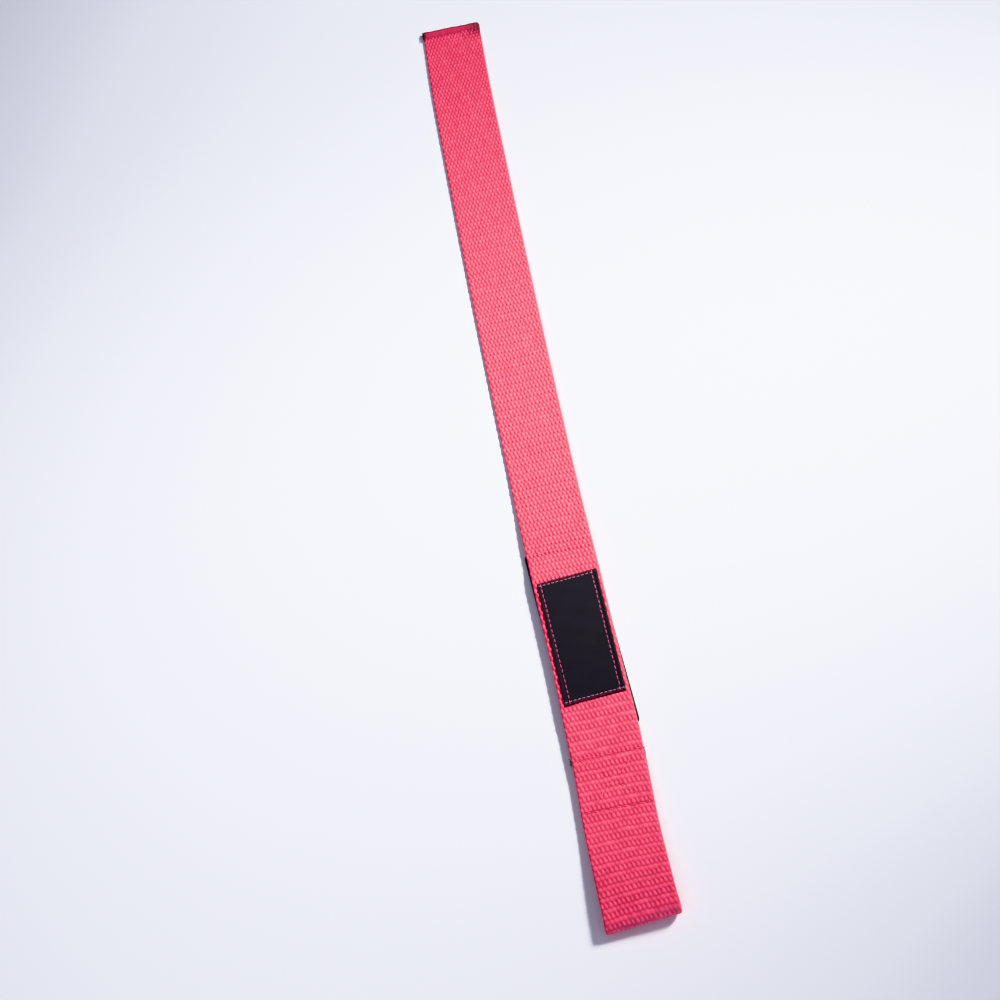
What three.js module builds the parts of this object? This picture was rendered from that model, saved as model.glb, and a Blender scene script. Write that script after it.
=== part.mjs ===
// Weightlifting strap: a band of cotton webbing whose end is folded back underneath
// and sewn down to leave an open loop, with a neoprene wrist pad below it, a woven
// label on top of it, and thread bound round its two cut ends.
// Millimetres, +Z up. The strap lies flat along Y with its loop towards -Y.
import * as THREE from 'three';

// Webbing
const WEBBING_WIDTH = 38;
const WEBBING_THICKNESS = 2.4;
const CUT_END_THICKNESS = 1.3;
const CUT_END_TAPER = 5;

// Lengths along the strap, in order from the outside of the loop to the tip of the tail
const LOOP_LENGTH = 60.3;
const SEWN_OVERLAP = 31.5;
const PAD_SETBACK = 12.5;
const PAD_LENGTH = 109;
const TAIL_LENGTH = 386.7;

// Open loop: clear height at its middle, and what its right side has over its left
const LOOP_GAP = 6.4;
const LOOP_TILT = 2.4;
const LOOP_SLANT = 3.2;
const FOLD_DRIFT = 0.5;

// Thread bound round each cut end
const BINDING_WIDTH = 38.8;
const BINDING_DEPTH = 6;
const BINDING_WALL = 0.45;

// Wrist pad, thinned where one seam across the strap draws it down
const PAD_WIDTH = 38;
const PAD_THICKNESS = 3.5;
const PAD_SEWN_THICKNESS = 1.5;
const PAD_SEAM_MARGIN = 4;
const PAD_SHOULDER = 15;
const PAD_CORNER_RADIUS = 3;
const PAD_EDGE_CHAMFER = 0.5;
const PAD_OFFSET_AT_TAIL = -1.4;
const PAD_OFFSET_AT_LOOP = 1.3;
const PAD_RAMP = 34;

// Label, laid on the webbing over the pad a little out of square
const LABEL_LENGTH = 72.7;
const LABEL_WIDTH = 34;
const LABEL_THICKNESS = 0.7;
const LABEL_EDGE_CHAMFER = 0.2;
const LABEL_SETBACK = 16.6;
const LABEL_OFFSET = 0.3;
const LABEL_SLANT = 2.2;

// Gap kept between pieces that are sewn face to face
const SEWN_GAP = 0.3;

// Spacing of the sections along plain and along shaped stretches
const PLAIN_STEP = 11;
const SHAPED_STEP = 4;
const FOLD_SECTIONS = 12;
const CORNER_SECTIONS = 4;
const SELVEDGE_SIDES = 4;

// How the strap wanders sideways as it lies: place as a share of its length from the
// tip of the tail, and shift towards +X as a share of the webbing's width
const WANDER = [
  { place: 0.0, shift: 0.002 },
  { place: 0.08, shift: -0.031 },
  { place: 0.2, shift: -0.045 },
  { place: 0.34, shift: -0.049 },
  { place: 0.5, shift: -0.039 },
  { place: 0.6, shift: -0.021 },
  { place: 0.66, shift: 0.004 },
  { place: 0.74, shift: 0.033 },
  { place: 0.84, shift: 0.056 },
  { place: 0.92, shift: 0.05 },
  { place: 1.0, shift: 0.088 },
];

// Places measured from the outside of the loop
const foldedEndPlace = LOOP_LENGTH + SEWN_OVERLAP;
const padStartPlace = foldedEndPlace + PAD_SETBACK;
const padEndPlace = padStartPlace + PAD_LENGTH;
const strapLength = padEndPlace + TAIL_LENGTH;

const bindingHeight = CUT_END_THICKNESS + 2 * (BINDING_WALL + SEWN_GAP);
const bindingInset = BINDING_WALL + SEWN_GAP;

// Height of the upper run's underside where it bears on what lies below it
const BEARING = [
  { place: LOOP_LENGTH, height: WEBBING_THICKNESS + SEWN_GAP },
  { place: foldedEndPlace - 2 * BINDING_DEPTH, height: WEBBING_THICKNESS + SEWN_GAP },
  { place: foldedEndPlace - BINDING_DEPTH, height: bindingHeight + SEWN_GAP },
  { place: foldedEndPlace, height: bindingHeight + SEWN_GAP },
  { place: padStartPlace, height: PAD_THICKNESS + SEWN_GAP },
  { place: padEndPlace - PAD_SEAM_MARGIN - PAD_SHOULDER, height: PAD_THICKNESS + SEWN_GAP },
  { place: padEndPlace - PAD_SEAM_MARGIN, height: PAD_SEWN_THICKNESS + SEWN_GAP },
  { place: padEndPlace, height: PAD_SEWN_THICKNESS + SEWN_GAP },
  { place: padEndPlace + PAD_RAMP, height: 0 },
];

const materials = {
  webbing: new THREE.MeshStandardMaterial({ color: '#e94467', roughness: 0.85, metalness: 0 }),
  binding: new THREE.MeshStandardMaterial({ color: '#b91c48', roughness: 0.7, metalness: 0 }),
  pad: new THREE.MeshStandardMaterial({ color: '#17161a', roughness: 0.9, metalness: 0 }),
  label: new THREE.MeshStandardMaterial({ color: '#1d1b22', roughness: 0.6, metalness: 0 }),
};

const mix = (a, b, share) => a + (b - a) * share;

// Smooth step from 0 to 1 along half a cosine wave
function ease(share) {
  return (1 - Math.cos(Math.PI * THREE.MathUtils.clamp(share, 0, 1))) / 2;
}

// Row of an ordered table whose stretch holds the given place
function stretchOf(table, place) {
  const last = table.length - 2;
  const found = table.findIndex((row, index) => index > 0 && place <= row.place) - 1;
  return found < 0 ? last : Math.min(found, last);
}

// Level table: rests at each row's height and eases from one to the next
function bearingHeight(place) {
  const index = stretchOf(BEARING, place);
  const [from, to] = [BEARING[index], BEARING[index + 1]];
  return mix(from.height, to.height, ease((place - from.place) / (to.place - from.place)));
}

// Smooth curve through the table of sideways shifts, with the slope at each row taken
// from its neighbours
function wander(place) {
  const along = THREE.MathUtils.clamp(1 - place / strapLength, 0, 1);
  const index = stretchOf(WANDER, along);
  const slope = (at) => {
    const before = WANDER[Math.max(at - 1, 0)];
    const after = WANDER[Math.min(at + 1, WANDER.length - 1)];
    return (after.shift - before.shift) / (after.place - before.place);
  };
  const [from, to] = [WANDER[index], WANDER[index + 1]];
  const run = to.place - from.place;
  const t = (along - from.place) / run;
  const shift = from.shift * (1 + 2 * t) * (1 - t) ** 2 + to.shift * t * t * (3 - 2 * t)
    + slope(index) * run * t * (1 - t) ** 2 - slope(index + 1) * run * t * t * (1 - t);
  return shift * WEBBING_WIDTH;
}

// Half the clear height plus half the webbing, which is the fold's radius at a point
// that lies a share of the width to the right of the middle
function foldRadius(side) {
  return (LOOP_GAP + LOOP_TILT * side + WEBBING_THICKNESS) / 2;
}

// Middle surface of the webbing: the run is 'upper', 'fold' or 'lower', and side goes
// from -0.5 at the left selvedge to 0.5 at the right one. On the two runs the place is
// measured from the outside of the loop, and on the fold it is the angle turned.
function middle(run, place, side) {
  const radius = foldRadius(side);
  const foldPlace = radius + WEBBING_THICKNESS / 2;
  const lowerHeight = WEBBING_THICKNESS / 2;
  let along = place;
  let height = lowerHeight;
  if (run === 'fold') {
    along = foldPlace - radius * Math.sin(place);
    height = lowerHeight + radius * (1 + Math.cos(place));
  } else if (place < LOOP_LENGTH) {
    const share = ease((LOOP_LENGTH - place) / (LOOP_LENGTH - foldRadius(0) - lowerHeight));
    along = mix(foldPlace, LOOP_LENGTH, (place - foldRadius(0) - lowerHeight)
      / (LOOP_LENGTH - foldRadius(0) - lowerHeight));
    if (run === 'upper') {
      height = mix(bearingHeight(LOOP_LENGTH), 2 * radius, share) + lowerHeight;
    }
  } else if (run === 'upper') {
    height = bearingHeight(place) + lowerHeight;
  }
  const reach = ease(1 - Math.max(along, 0) / LOOP_LENGTH);
  const drift = run === 'lower' ? FOLD_DRIFT * along / foldedEndPlace : 0;
  return new THREE.Vector3(
    wander(along) + drift + side * WEBBING_WIDTH,
    along + LOOP_SLANT * side * reach - strapLength / 2,
    height,
  );
}

// Closed body through a row of rings that all have the same number of points. Each ring
// runs from +X towards its outer side, and the rings follow each other like +Z turned
// into -Y, so every face points outwards.
function loft(rings) {
  const count = rings[0].length;
  const vertices = rings.flat().flatMap((point) => point.toArray());
  const faces = [];
  for (let ring = 0; ring < rings.length - 1; ring += 1) {
    for (let point = 0; point < count; point += 1) {
      const next = (point + 1) % count;
      const near = ring * count;
      const far = near + count;
      faces.push(near + point, near + next, far + next, near + point, far + next, far + point);
    }
  }
  const end = (rings.length - 1) * count;
  for (let point = 1; point < count - 1; point += 1) {
    faces.push(0, point + 1, point, end, end + point, end + point + 1);
  }
  const geometry = new THREE.BufferGeometry();
  geometry.setAttribute('position', new THREE.Float32BufferAttribute(vertices, 3));
  geometry.setIndex(faces);
  geometry.computeVertexNormals();
  return geometry;
}

// Even places from one end of a stretch to the other, about one step apart
function places(from, to, step) {
  const count = Math.max(Math.ceil(Math.abs(to - from) / step), 1);
  return Array.from({ length: count + 1 }, (unused, index) => mix(from, to, index / count));
}

// Outline of a slab's section: width and thickness with chamfered corners
function slabSection(width, thickness, chamfer) {
  const x = width / 2;
  return [
    [x, chamfer], [x, thickness - chamfer], [x - chamfer, thickness], [chamfer - x, thickness],
    [-x, thickness - chamfer], [-x, chamfer], [chamfer - x, 0], [x - chamfer, 0],
  ];
}

// Outline of the webbing's section: flat faces and round selvedges, as offsets across
// and outwards from the middle
function webbingSection(halfThickness) {
  const reach = WEBBING_WIDTH / 2 - halfThickness;
  const turn = (start) => Array.from({ length: SELVEDGE_SIDES + 1 }, (unused, index) => {
    const angle = start + Math.PI * index / SELVEDGE_SIDES;
    const centre = Math.cos(start + Math.PI / 2) * reach;
    return [centre + halfThickness * Math.cos(angle), halfThickness * Math.sin(angle)];
  });
  return [...turn(-Math.PI / 2), ...turn(Math.PI / 2)];
}

// One section of the webbing, square to its middle surface. Squeeze is 1 under the
// thread of a cut end and 0 away from it.
function webbingRing(run, place, squeeze) {
  const half = mix(WEBBING_THICKNESS, CUT_END_THICKNESS, squeeze) / 2;
  const heading = run === 'upper' ? -1 : 1;
  const probe = run === 'fold' ? 0.01 : 0.1 * heading;
  return webbingSection(half).map(([across, outward]) => {
    const side = across / WEBBING_WIDTH;
    const point = middle(run, place, side);
    const ahead = middle(run, place + probe, side);
    const behind = middle(run, place - probe, side);
    const along = ahead.sub(behind).setX(0).normalize();
    point.z = mix(point.z, bindingHeight / 2, squeeze);
    return point.add(new THREE.Vector3(0, along.z, -along.y).multiplyScalar(outward));
  });
}

// Share of the squeeze at a distance from a cut end
function squeezeAt(distance) {
  return 1 - ease((distance - BINDING_DEPTH) / CUT_END_TAPER);
}

// The whole band: upper run from tail to loop, round the fold, and back underneath
function makeWebbing() {
  const tailCut = strapLength - bindingInset;
  const tailPlain = strapLength - BINDING_DEPTH - CUT_END_TAPER;
  const rampStart = padEndPlace + PAD_RAMP;
  const foldPlace = foldRadius(0) + WEBBING_THICKNESS / 2;
  const foldedCut = foldedEndPlace - bindingInset;
  const foldedPlain = foldedEndPlace - BINDING_DEPTH - CUT_END_TAPER;
  const upper = [
    ...places(tailCut, tailPlain, SHAPED_STEP / 2),
    ...places(tailPlain, rampStart, PLAIN_STEP).slice(1),
    ...places(rampStart, foldPlace, SHAPED_STEP).slice(1),
  ];
  const angles = places(0, Math.PI, Math.PI / FOLD_SECTIONS).slice(1);
  const lower = [
    ...places(foldPlace, foldedPlain, SHAPED_STEP).slice(1),
    ...places(foldedPlain, foldedCut, SHAPED_STEP / 2).slice(1),
  ];
  return loft([
    ...upper.map((place) => webbingRing('upper', place, squeezeAt(strapLength - place))),
    ...angles.map((angle) => webbingRing('fold', angle, 0)),
    ...lower.map((place) => webbingRing('lower', place, squeezeAt(foldedEndPlace - place))),
  ]);
}

// Neoprene pad: flat below, following the webbing above, with round corners in plan
function makePad() {
  const radius = PAD_CORNER_RADIUS;
  const corner = Array.from({ length: CORNER_SECTIONS + 1 }, (unused, index) => (
    radius * (1 - Math.cos(Math.PI / 2 * index / CORNER_SECTIONS))
  ));
  const insets = [
    ...corner,
    ...places(radius, PAD_LENGTH - radius, SHAPED_STEP).slice(1, -1),
    ...corner.map((inset) => PAD_LENGTH - inset).reverse(),
  ];
  const centreAtTail = wander(padEndPlace) + PAD_OFFSET_AT_TAIL;
  const centreAtLoop = wander(padStartPlace) + PAD_OFFSET_AT_LOOP;
  return loft(insets.map((inset) => {
    const edge = radius - Math.min(inset, PAD_LENGTH - inset, radius);
    const narrowing = radius - Math.sqrt(radius * radius - edge * edge);
    const place = padEndPlace - inset;
    const centre = mix(centreAtTail, centreAtLoop, inset / PAD_LENGTH);
    const thickness = bearingHeight(place) - SEWN_GAP;
    return slabSection(PAD_WIDTH - 2 * narrowing, thickness, PAD_EDGE_CHAMFER)
      .map(([x, z]) => new THREE.Vector3(centre + x, place - strapLength / 2, z));
  }));
}

// Woven label: a thin slab that lies on the upper run and follows it
function makeLabel() {
  const start = padStartPlace + LABEL_SETBACK;
  return loft(places(start + LABEL_LENGTH, start, SHAPED_STEP * 2).map((place) => (
    slabSection(LABEL_WIDTH, LABEL_THICKNESS, LABEL_EDGE_CHAMFER).map(([x, z]) => {
      const along = place + LABEL_SLANT * x / LABEL_WIDTH;
      const base = bearingHeight(along) + WEBBING_THICKNESS + SEWN_GAP;
      return new THREE.Vector3(
        wander(along) + LABEL_OFFSET + x,
        along - strapLength / 2,
        base + z,
      );
    })
  )));
}

// Thread binding: a channel that wraps a cut end over, round and under, with its mouth
// towards -Y and its bottom on Z = 0
function makeBinding() {
  const nose = bindingHeight / 3;
  const outline = new THREE.Shape();
  outline.moveTo(-BINDING_DEPTH, 0);
  outline.lineTo(-nose, 0);
  outline.absarc(-nose, nose, nose, -Math.PI / 2, 0, false);
  outline.lineTo(0, bindingHeight - nose);
  outline.absarc(-nose, bindingHeight - nose, nose, 0, Math.PI / 2, false);
  outline.lineTo(-BINDING_DEPTH, bindingHeight);
  outline.lineTo(-BINDING_DEPTH, bindingHeight - BINDING_WALL);
  outline.lineTo(-BINDING_WALL, bindingHeight - BINDING_WALL);
  outline.lineTo(-BINDING_WALL, BINDING_WALL);
  outline.lineTo(-BINDING_DEPTH, BINDING_WALL);
  outline.closePath();
  const geometry = new THREE.ExtrudeGeometry(outline, {
    depth: BINDING_WIDTH,
    bevelEnabled: false,
    curveSegments: SELVEDGE_SIDES,
  });
  const acrossStrap = new THREE.Matrix4().makeBasis(
    new THREE.Vector3(0, 1, 0),
    new THREE.Vector3(0, 0, 1),
    new THREE.Vector3(1, 0, 0),
  );
  return geometry.applyMatrix4(acrossStrap).translate(-BINDING_WIDTH / 2, 0, 0);
}

function addPiece(parent, name, geometry, material) {
  const mesh = new THREE.Mesh(geometry, material);
  mesh.name = name;
  parent.add(mesh);
  return mesh;
}

const strap = new THREE.Group();
addPiece(strap, 'webbing', makeWebbing(), materials.webbing);
addPiece(strap, 'wrist_pad', makePad(), materials.pad);
addPiece(strap, 'label', makeLabel(), materials.label);

const tailBinding = addPiece(strap, 'tail_binding', makeBinding(), materials.binding);
tailBinding.position.set(wander(strapLength), strapLength / 2, 0);

const foldBinding = addPiece(strap, 'fold_binding', makeBinding(), materials.binding);
foldBinding.position.set(
  wander(foldedEndPlace) + FOLD_DRIFT,
  foldedEndPlace - strapLength / 2,
  0,
);

// The origin is under the middle of the strap's box
const box = new THREE.Box3().setFromObject(strap);
const origin = box.getCenter(new THREE.Vector3());
strap.position.set(-origin.x, -origin.y, -box.min.z);

export default strap;
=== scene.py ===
"""Looks of a padded weightlifting strap: woven webbing, pad, label, bound ends and stitching."""

import math

import bpy
import numpy as np
from bpy.props import FloatProperty, FloatVectorProperty, IntProperty, PointerProperty
from mathutils import Matrix, Vector


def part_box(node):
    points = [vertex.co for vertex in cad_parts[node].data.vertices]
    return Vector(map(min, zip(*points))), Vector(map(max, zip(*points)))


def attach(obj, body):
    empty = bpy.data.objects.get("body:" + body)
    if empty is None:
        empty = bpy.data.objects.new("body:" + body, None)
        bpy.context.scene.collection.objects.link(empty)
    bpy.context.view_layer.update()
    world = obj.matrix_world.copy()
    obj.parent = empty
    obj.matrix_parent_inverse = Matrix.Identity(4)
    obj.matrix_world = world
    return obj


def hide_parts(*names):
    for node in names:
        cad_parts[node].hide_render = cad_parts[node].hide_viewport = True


bl_info = {
    "name": "Weightlifting strap",
    "version": (1, 0, 0),
    "blender": (4, 5, 0),
    "location": "3D View > Sidebar > Strap",
    "description": "Builds the woven, padded and stitched surfaces of a lifting strap",
    "category": "Add Mesh",
}

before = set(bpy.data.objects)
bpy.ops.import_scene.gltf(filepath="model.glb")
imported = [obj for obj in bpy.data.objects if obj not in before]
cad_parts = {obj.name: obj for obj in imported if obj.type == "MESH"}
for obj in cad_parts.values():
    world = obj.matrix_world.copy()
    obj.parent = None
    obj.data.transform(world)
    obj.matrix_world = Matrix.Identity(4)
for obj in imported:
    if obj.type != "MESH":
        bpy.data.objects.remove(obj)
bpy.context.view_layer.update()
MM = 0.001

# Sizes of the frame in millimetres, places measured from the outside of the loop
WIDTH = 38.0
THICKNESS = 2.4
LOOP_LENGTH = 60.3
FOLDED_END = 91.8
PAD_START = 104.3
PAD_END = 213.3
STRAP_LENGTH = 600.0
LOOP_GAP = 6.4
LOOP_TILT = 2.4
LOOP_SAG = 1.3
LOOP_SLANT = 3.2
FOLD_DRIFT = 0.5
BINDING_DEPTH = 6.0
BINDING_HEIGHT = 2.8
BINDING_WALL = 0.45
PAD_WIDTH = 38.0
PAD_CORNER = 3.0
PAD_OFFSETS = (-1.4, 1.8)
LABEL_LENGTH = 72.7
LABEL_WIDTH = 34.0
LABEL_START = 120.9
LABEL_OFFSET = 0.3
LABEL_SLANT = 2.2
TIP_WANDER = 0.076

# Height of the upper run's underside: place, height
BEARING = np.array((
    (60.3, 2.7),
    (79.8, 2.7),
    (85.8, 3.1),
    (91.8, 3.1),
    (104.3, 3.1),
    (120.9, 3.7),
    (194.3, 3.8),
    (209.3, 2.2),
    (213.3, 2.1),
    (247.3, 0.5),
    (275.0, 0.0),
))

# Sideways wander: share of the length from the tip of the tail, share of the width
WANDER = np.array((
    (0.0, 0.01),
    (0.08, -0.031),
    (0.2, -0.045),
    (0.34, -0.049),
    (0.5, -0.039),
    (0.6, -0.021),
    (0.66, 0.004),
    (0.74, 0.033),
    (0.84, 0.064),
    (0.92, 0.049),
    (1.0, 0.078),
))

# How the floats lie: run from the tip of the tail, lean to the right towards the loop and
# bow as shares of the spacing between yarns, how far every second row is fuller, how much
# the others widen towards the loop, half length as a share of the row pitch, and the
# relief's share
FLOATS = np.array((
    (0.0, -0.34, 0.02, 0.05, 0.0, 0.6, 1.0),
    (120.0, -0.22, 0.12, 0.05, -0.15, 0.58, 1.05),
    (220.0, -0.08, 0.22, 0.03, -0.25, 0.56, 1.15),
    (400.0, 0.08, 0.25, 0.03, -0.3, 0.55, 1.15),
    (500.0, 0.34, 0.06, 0.4, 0.45, 0.56, 0.86),
    (560.0, 0.4, 0.02, 0.5, 0.55, 0.56, 0.79),
    (600.0, 0.4, 0.02, 0.5, 0.55, 0.56, 0.68),
    (700.0, 0.4, 0.02, 0.5, 0.55, 0.56, 0.79),
))

# Widths of the band: run from the tip of the tail, share of the nominal width
WIDTHS = np.array((
    (0.0, 0.988),
    (14.0, 0.995),
    (40.0, 1.004),
    (200.0, 1.01),
    (330.0, 1.0),
    (400.0, 1.008),
    (455.0, 0.993),
    (472.0, 1.002),
    (487.0, 1.024),
    (502.0, 1.028),
    (514.0, 1.01),
    (540.0, 1.022),
    (560.0, 1.025),
    (590.0, 1.03),
    (597.0, 1.045),
    (606.0, 1.04),
    (650.0, 1.01),
))

# How far the rows lie from even spacing: run from the tip of the tail, mm towards the loop
ROW_SHIFTS = np.array((
    (0.0, 2.1),
    (18.0, 2.0),
    (50.0, 1.62),
    (82.0, 1.93),
    (114.0, 2.73),
    (146.0, 3.22),
    (178.0, 3.3),
    (194.0, 2.55),
    (226.0, 2.55),
    (258.0, 2.07),
    (290.0, 2.55),
    (322.0, 2.25),
    (354.0, 1.45),
    (430.0, 1.1),
    (510.0, 1.3),
    (550.0, 1.85),
    (578.0, 2.6),
    (694.0, 2.6),
))

# The fold's radius in its middle, and the run from the tip of the tail to both its ends
FOLD_RADIUS = (LOOP_GAP + THICKNESS) / 2
FOLD_START = STRAP_LENGTH - FOLD_RADIUS - THICKNESS / 2
FOLD_END = FOLD_START + math.pi * FOLD_RADIUS

# How far the band's cut ends lie inside their bindings, and where the band begins and ends
CUT_INSET = 0.75
BAND_START = CUT_INSET
BAND_END = FOLD_END + FOLDED_END - FOLD_RADIUS - THICKNESS / 2 - CUT_INSET

# Step to each side, in mm, from which the band's heading is taken
PROBE = 0.1

# The squeezed cut ends, a little fuller than the frame's: their thickness, how far inside the
# binding they start to thicken, and over what length
CUT_THICKNESS = 1.75
CUT_MARGIN = 1.0
CUT_TAPER = 3.0

# The four woven lengths, and the joins between them, each under or beside a row of stitches
WOVEN_LENGTHS = ("webbing_tail", "webbing_forearm", "webbing_over_pad", "webbing_loop")
JOINS = (194.7, 389.7, 539.7)

# Rows of stitches that hold the webbing, as run from the tip of the tail and across
PAD_SEAM = ((387.7, -17.0), (389.3, 17.0))
BOX_TOP = ((509.7, -16.6), (510.1, 17.2))
BOX_BOTTOM = ((538.7, -16.6), (539.1, 17.2))
BOX_CROSS_A = ((510.3, -14.5), (538.7, 16.5))
BOX_CROSS_B = ((510.3, 16.0), (538.7, -15.5))

# Rows of stitches down the label's sides and across its ends, as across and place
SIDE_STITCHES = (
    ((-13.6, LABEL_START + 0.4), (-15.1, LABEL_START + LABEL_LENGTH - 0.7)),
    ((13.9, LABEL_START + 0.7), (13.9, LABEL_START + LABEL_LENGTH - 0.5)),
)
END_STITCHES = (
    ((-16.8, LABEL_START + 1.9), (16.6, LABEL_START + 1.8)),
    ((-16.6, LABEL_START + LABEL_LENGTH - 1.9), (14.2, LABEL_START + LABEL_LENGTH - 2.0)),
)

# How deep each row of stitches draws the webbing down, and how wide and how far past the
# row's ends. The grooves are also painted darker with the gaps' shade
SEAM_DIPS = (
    (PAD_SEAM, 0.06),
    (BOX_TOP, 0.32),
    (BOX_BOTTOM, 0.32),
    (BOX_CROSS_A, 0.14),
    (BOX_CROSS_B, 0.14),
)
SEAM_WIDTH = 0.6
SEAM_FADE = 1.5

# How finely the webbing is sampled: points to a row of the weave, places of points from one
# yarn to the next, and points round a selvedge
ROW_SAMPLES = 5
COLUMN_SAMPLES = (0.0, 0.3, 0.5, 0.7)
EDGE_SAMPLES = 5

# What chance changes on a float, as shares of its width, of the spacing and of its height,
# from a seeded table of so many floats to a yarn
FLOAT_SEED = 11
FLOAT_ROWS = 97
SWELL_WIDTH = 0.08
SWELL_PLACE = 0.05
SWELL_HEIGHT = 0.06

# Waves of the rows, as shares of their pitch: height, turn for each yarn and for each row
BEAT_UP = (
    (0.06, 0.19, 0.083),
    (0.04, 0.61, -0.047),
)

# What fullness does to the floats between the full rows: growth in width as a share of the
# spacing, and shares of the reach that they lose and gain
SLIM_GROWTH = 0.12
SLIM_TO_LOOP = 0.3
SLIM_TO_TAIL = 0.7

# What it does to the full floats: growth in width, loss of reach, and shares lost of their
# lean, of their pointed shape and of their height. All floats shift towards the loop by a
# share of the row pitch
FULL_GROWTH = 1.1
FULL_SHORTER = 0.06
FULL_UPRIGHT = 0.75
FULL_BLUNT = 0.7
FULL_LOWER = 0.2
FLOAT_SHIFT = 0.06

# Near the loop the rows lean towards the tail on the right, and follow part of its slant
ROW_LEAN = 0.03
ROW_LEAN_START = 500.0
ROW_LEAN_FADE = 50.0
ROWS_FOLLOW_SLANT = 0.65

# How much lower the relief is on the selvedges, round the fold and on the fold's front, as
# shares, over what length that comes on in mm, and how much of the gaps' painted shade the
# front loses, which paints it lighter
EDGE_LOWER = 0.5
BEND_LOWER = 0.3
FRONT_LOWER = 0.2
FOLD_EASE = 3.0
FRONT_EASE = 5.0
FRONT_FADES = 0.4

# How strong the painted light is in the gaps and on the crests of the fold's front, which lies in
# shade
FOLD_LIGHT_SHARES = (0.15, 0.5)

# Swell of the selvedges in mm, and the step of the cloth's map round their turn
EDGE_SWELL = 0.13
TURN_STEP = 0.2

# The points in the middle of a loft's two ends have no colour of their own
END_VALUES = (0.0, 0.0)

# Singed corners of the tail: place across and width in mm, strength, share at the tip, and
# the run in mm over which a whole share fades
SINGED_CORNERS = (
    (19.0, 8.5, 1.5, 1.35, 11.0),
    (-19.0, 2.0, 1.0, 1.2, 6.0),
)

# Shares of the singe between spots and in them, and in the gaps and on the crests
SPOT_SHARES = (0.45, 1.0)
DOME_SHARES = (1.1, 0.6)

# The pad: points along and across, radius of its edges and share of thickness left there,
# gaps under the webbing, and slow waves of the underside and how far from the border they
# begin
PAD_GRID = (220, 90)
PAD_ROUND = 1.1
PAD_EDGE = 0.25
PAD_GAP = 0.1
PAD_TOP_GAP = 0.05
PAD_PUFF = ((0.12, 0.23, 0.1),)
PUFF_FADE = 6.0

# Grooves under the pad along its seam and the label's rows, width and depth, and the height
# at which stitches lie in them
PAD_DIP = (1.4, 0.25)
LABEL_DIP = (1.0, 0.2)
PAD_UNDERSIDE = 0.34

# The label: points along and across, roughness of its sides and the power of its fall
# inwards, and how far the label sinks in
LABEL_GRID = (190, 90)
LABEL_SEED = 3
LABEL_ROUGH = 0.05
ROUGH_FALL = 9
LABEL_SUNK = 0.02

# Its face: height over the webbing, radius of its edge and share of height left there
LABEL_HEIGHT = 0.5
LABEL_ROUND = 0.4
LABEL_EDGE = 0.4

# Its hem, groove of stitches, crown and ripple: height or depth, and place and width as
# distances from the border
HEM_RISE = 0.1
HEM_REACH = 1.6
HEM_FADE = 0.8
GROOVE_DEPTH = 0.12
GROOVE_INSET = 2.2
GROOVE_WIDTH = 0.5
CROWN_RISE = 0.12
CROWN_REACH = 14.0
LABEL_RIPPLE = ((0.03, 0.55, 0.3),)
RIPPLE_FADE = 3.0

# The hem's red yarn: its patches at the ends, their strength, reach and fade, and its
# strength and reach at the sides
HEM_PATCHES = ((0.4, 1.3, 0.9),)
HEM_YARN_MEAN = 0.6
HEM_YARN_ENDS = 0.75
HEM_YARN_REACH = 1.1
HEM_YARN_FADE = 1.2
HEM_YARN_SIDES = 0.6
HEM_YARN_NARROW = 0.7

# The bound ends: name, node of the frame, place along the strap, drift to the right, width,
# seed, and 1 where the rim slants as on the tail
BOUND_ENDS = (
    ("tail_overlock", "tail_binding", STRAP_LENGTH, -0.4, 38.4, 21, 1),
    ("fold_overlock", "fold_binding", FOLDED_END, FOLD_DRIFT, 38.6, 22, 0),
)

# What its wall gains inside in mm, and how far its open side runs on there
WALL_MARGIN = 0.05
OPEN_OVERHANG = 0.1

# Points along each flat face of a binding, round its nose, and across one thread
BINDING_SAMPLES = 10
NOSE_SAMPLES = 13
THREAD_SAMPLES = 6

# The binding's threads: number that the middle one has, spare ones in the random table,
# slant for each mm round the profile, and waves in the spacing
FIRST_THREAD = 60
SPARE_THREADS = 40
THREAD_SLANT = 0.06
THREAD_DRIFT = (
    (0.2, 0.9, 0.0),
    (0.15, 2.3, 0.0),
)

# Depth between threads, and chance in their height and in where they end in the weave
RIDGE_DEPTH = 0.17
RIDGE_UNEVEN = 0.05
END_UNEVEN = 0.26
END_INSET = 0.1

# Waves of the rim, with the seed as second measure, and its slant on the tail
RIM_WAVES = (
    (0.16, 0.33, 1.0),
    (0.1, 1.1, 0.0),
)
RIM_FORWARD = 0.35
RIM_SLANT = 0.03

# The worn right corner: its radius, how far it is cut back, and share of height that both
# corners keep. The open side of the binding is lower on top and narrower
WORN_CORNER = 3.0
WORN_TRIM = 2.6
WORN_FLAT = 0.72
OPEN_LOWER = 0.5
OPEN_NARROWER = 0.015

# How much painted shade darkens the binding's threads towards the open side, and from where
# and over what share of the depth
BACK_SHADE_SHARE = 0.5
BACK_SHADE_START = 0.35
BACK_SHADE_FADE = 0.6

# Where the binding is singed, in mm: place across and width of the blot at the right and of
# the mark at the left, the mark's ends along the strap and its strength, and how far the
# spots of the rim reach back
BLOT_PLACE = 20.0
BLOT_WIDTH = 9.0
MARK_PLACE = 19.0
MARK_WIDTH = 1.9
MARK_START = 0.8
MARK_END = 5.4
MARK_FADE = 1.2
MARK_STRENGTH = 1.3
RIM_REACH = 2.1
RIM_FADE = 0.7

# Shares of the blot and of the rim's singe between spots and in them
BLOT_SHARES = (0.4, 0.9)
RIM_SHARES = (0.55, 0.9)

# Spots along the rim and on the tail's weave: turn for each unit of the first measure, how
# far they sway, and turn of the sway for each unit of the second
RIM_SPOTS = (2.9, 1.2, 0.8)
TAIL_SPOTS = (2.1, 0.7, 0.9)

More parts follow.
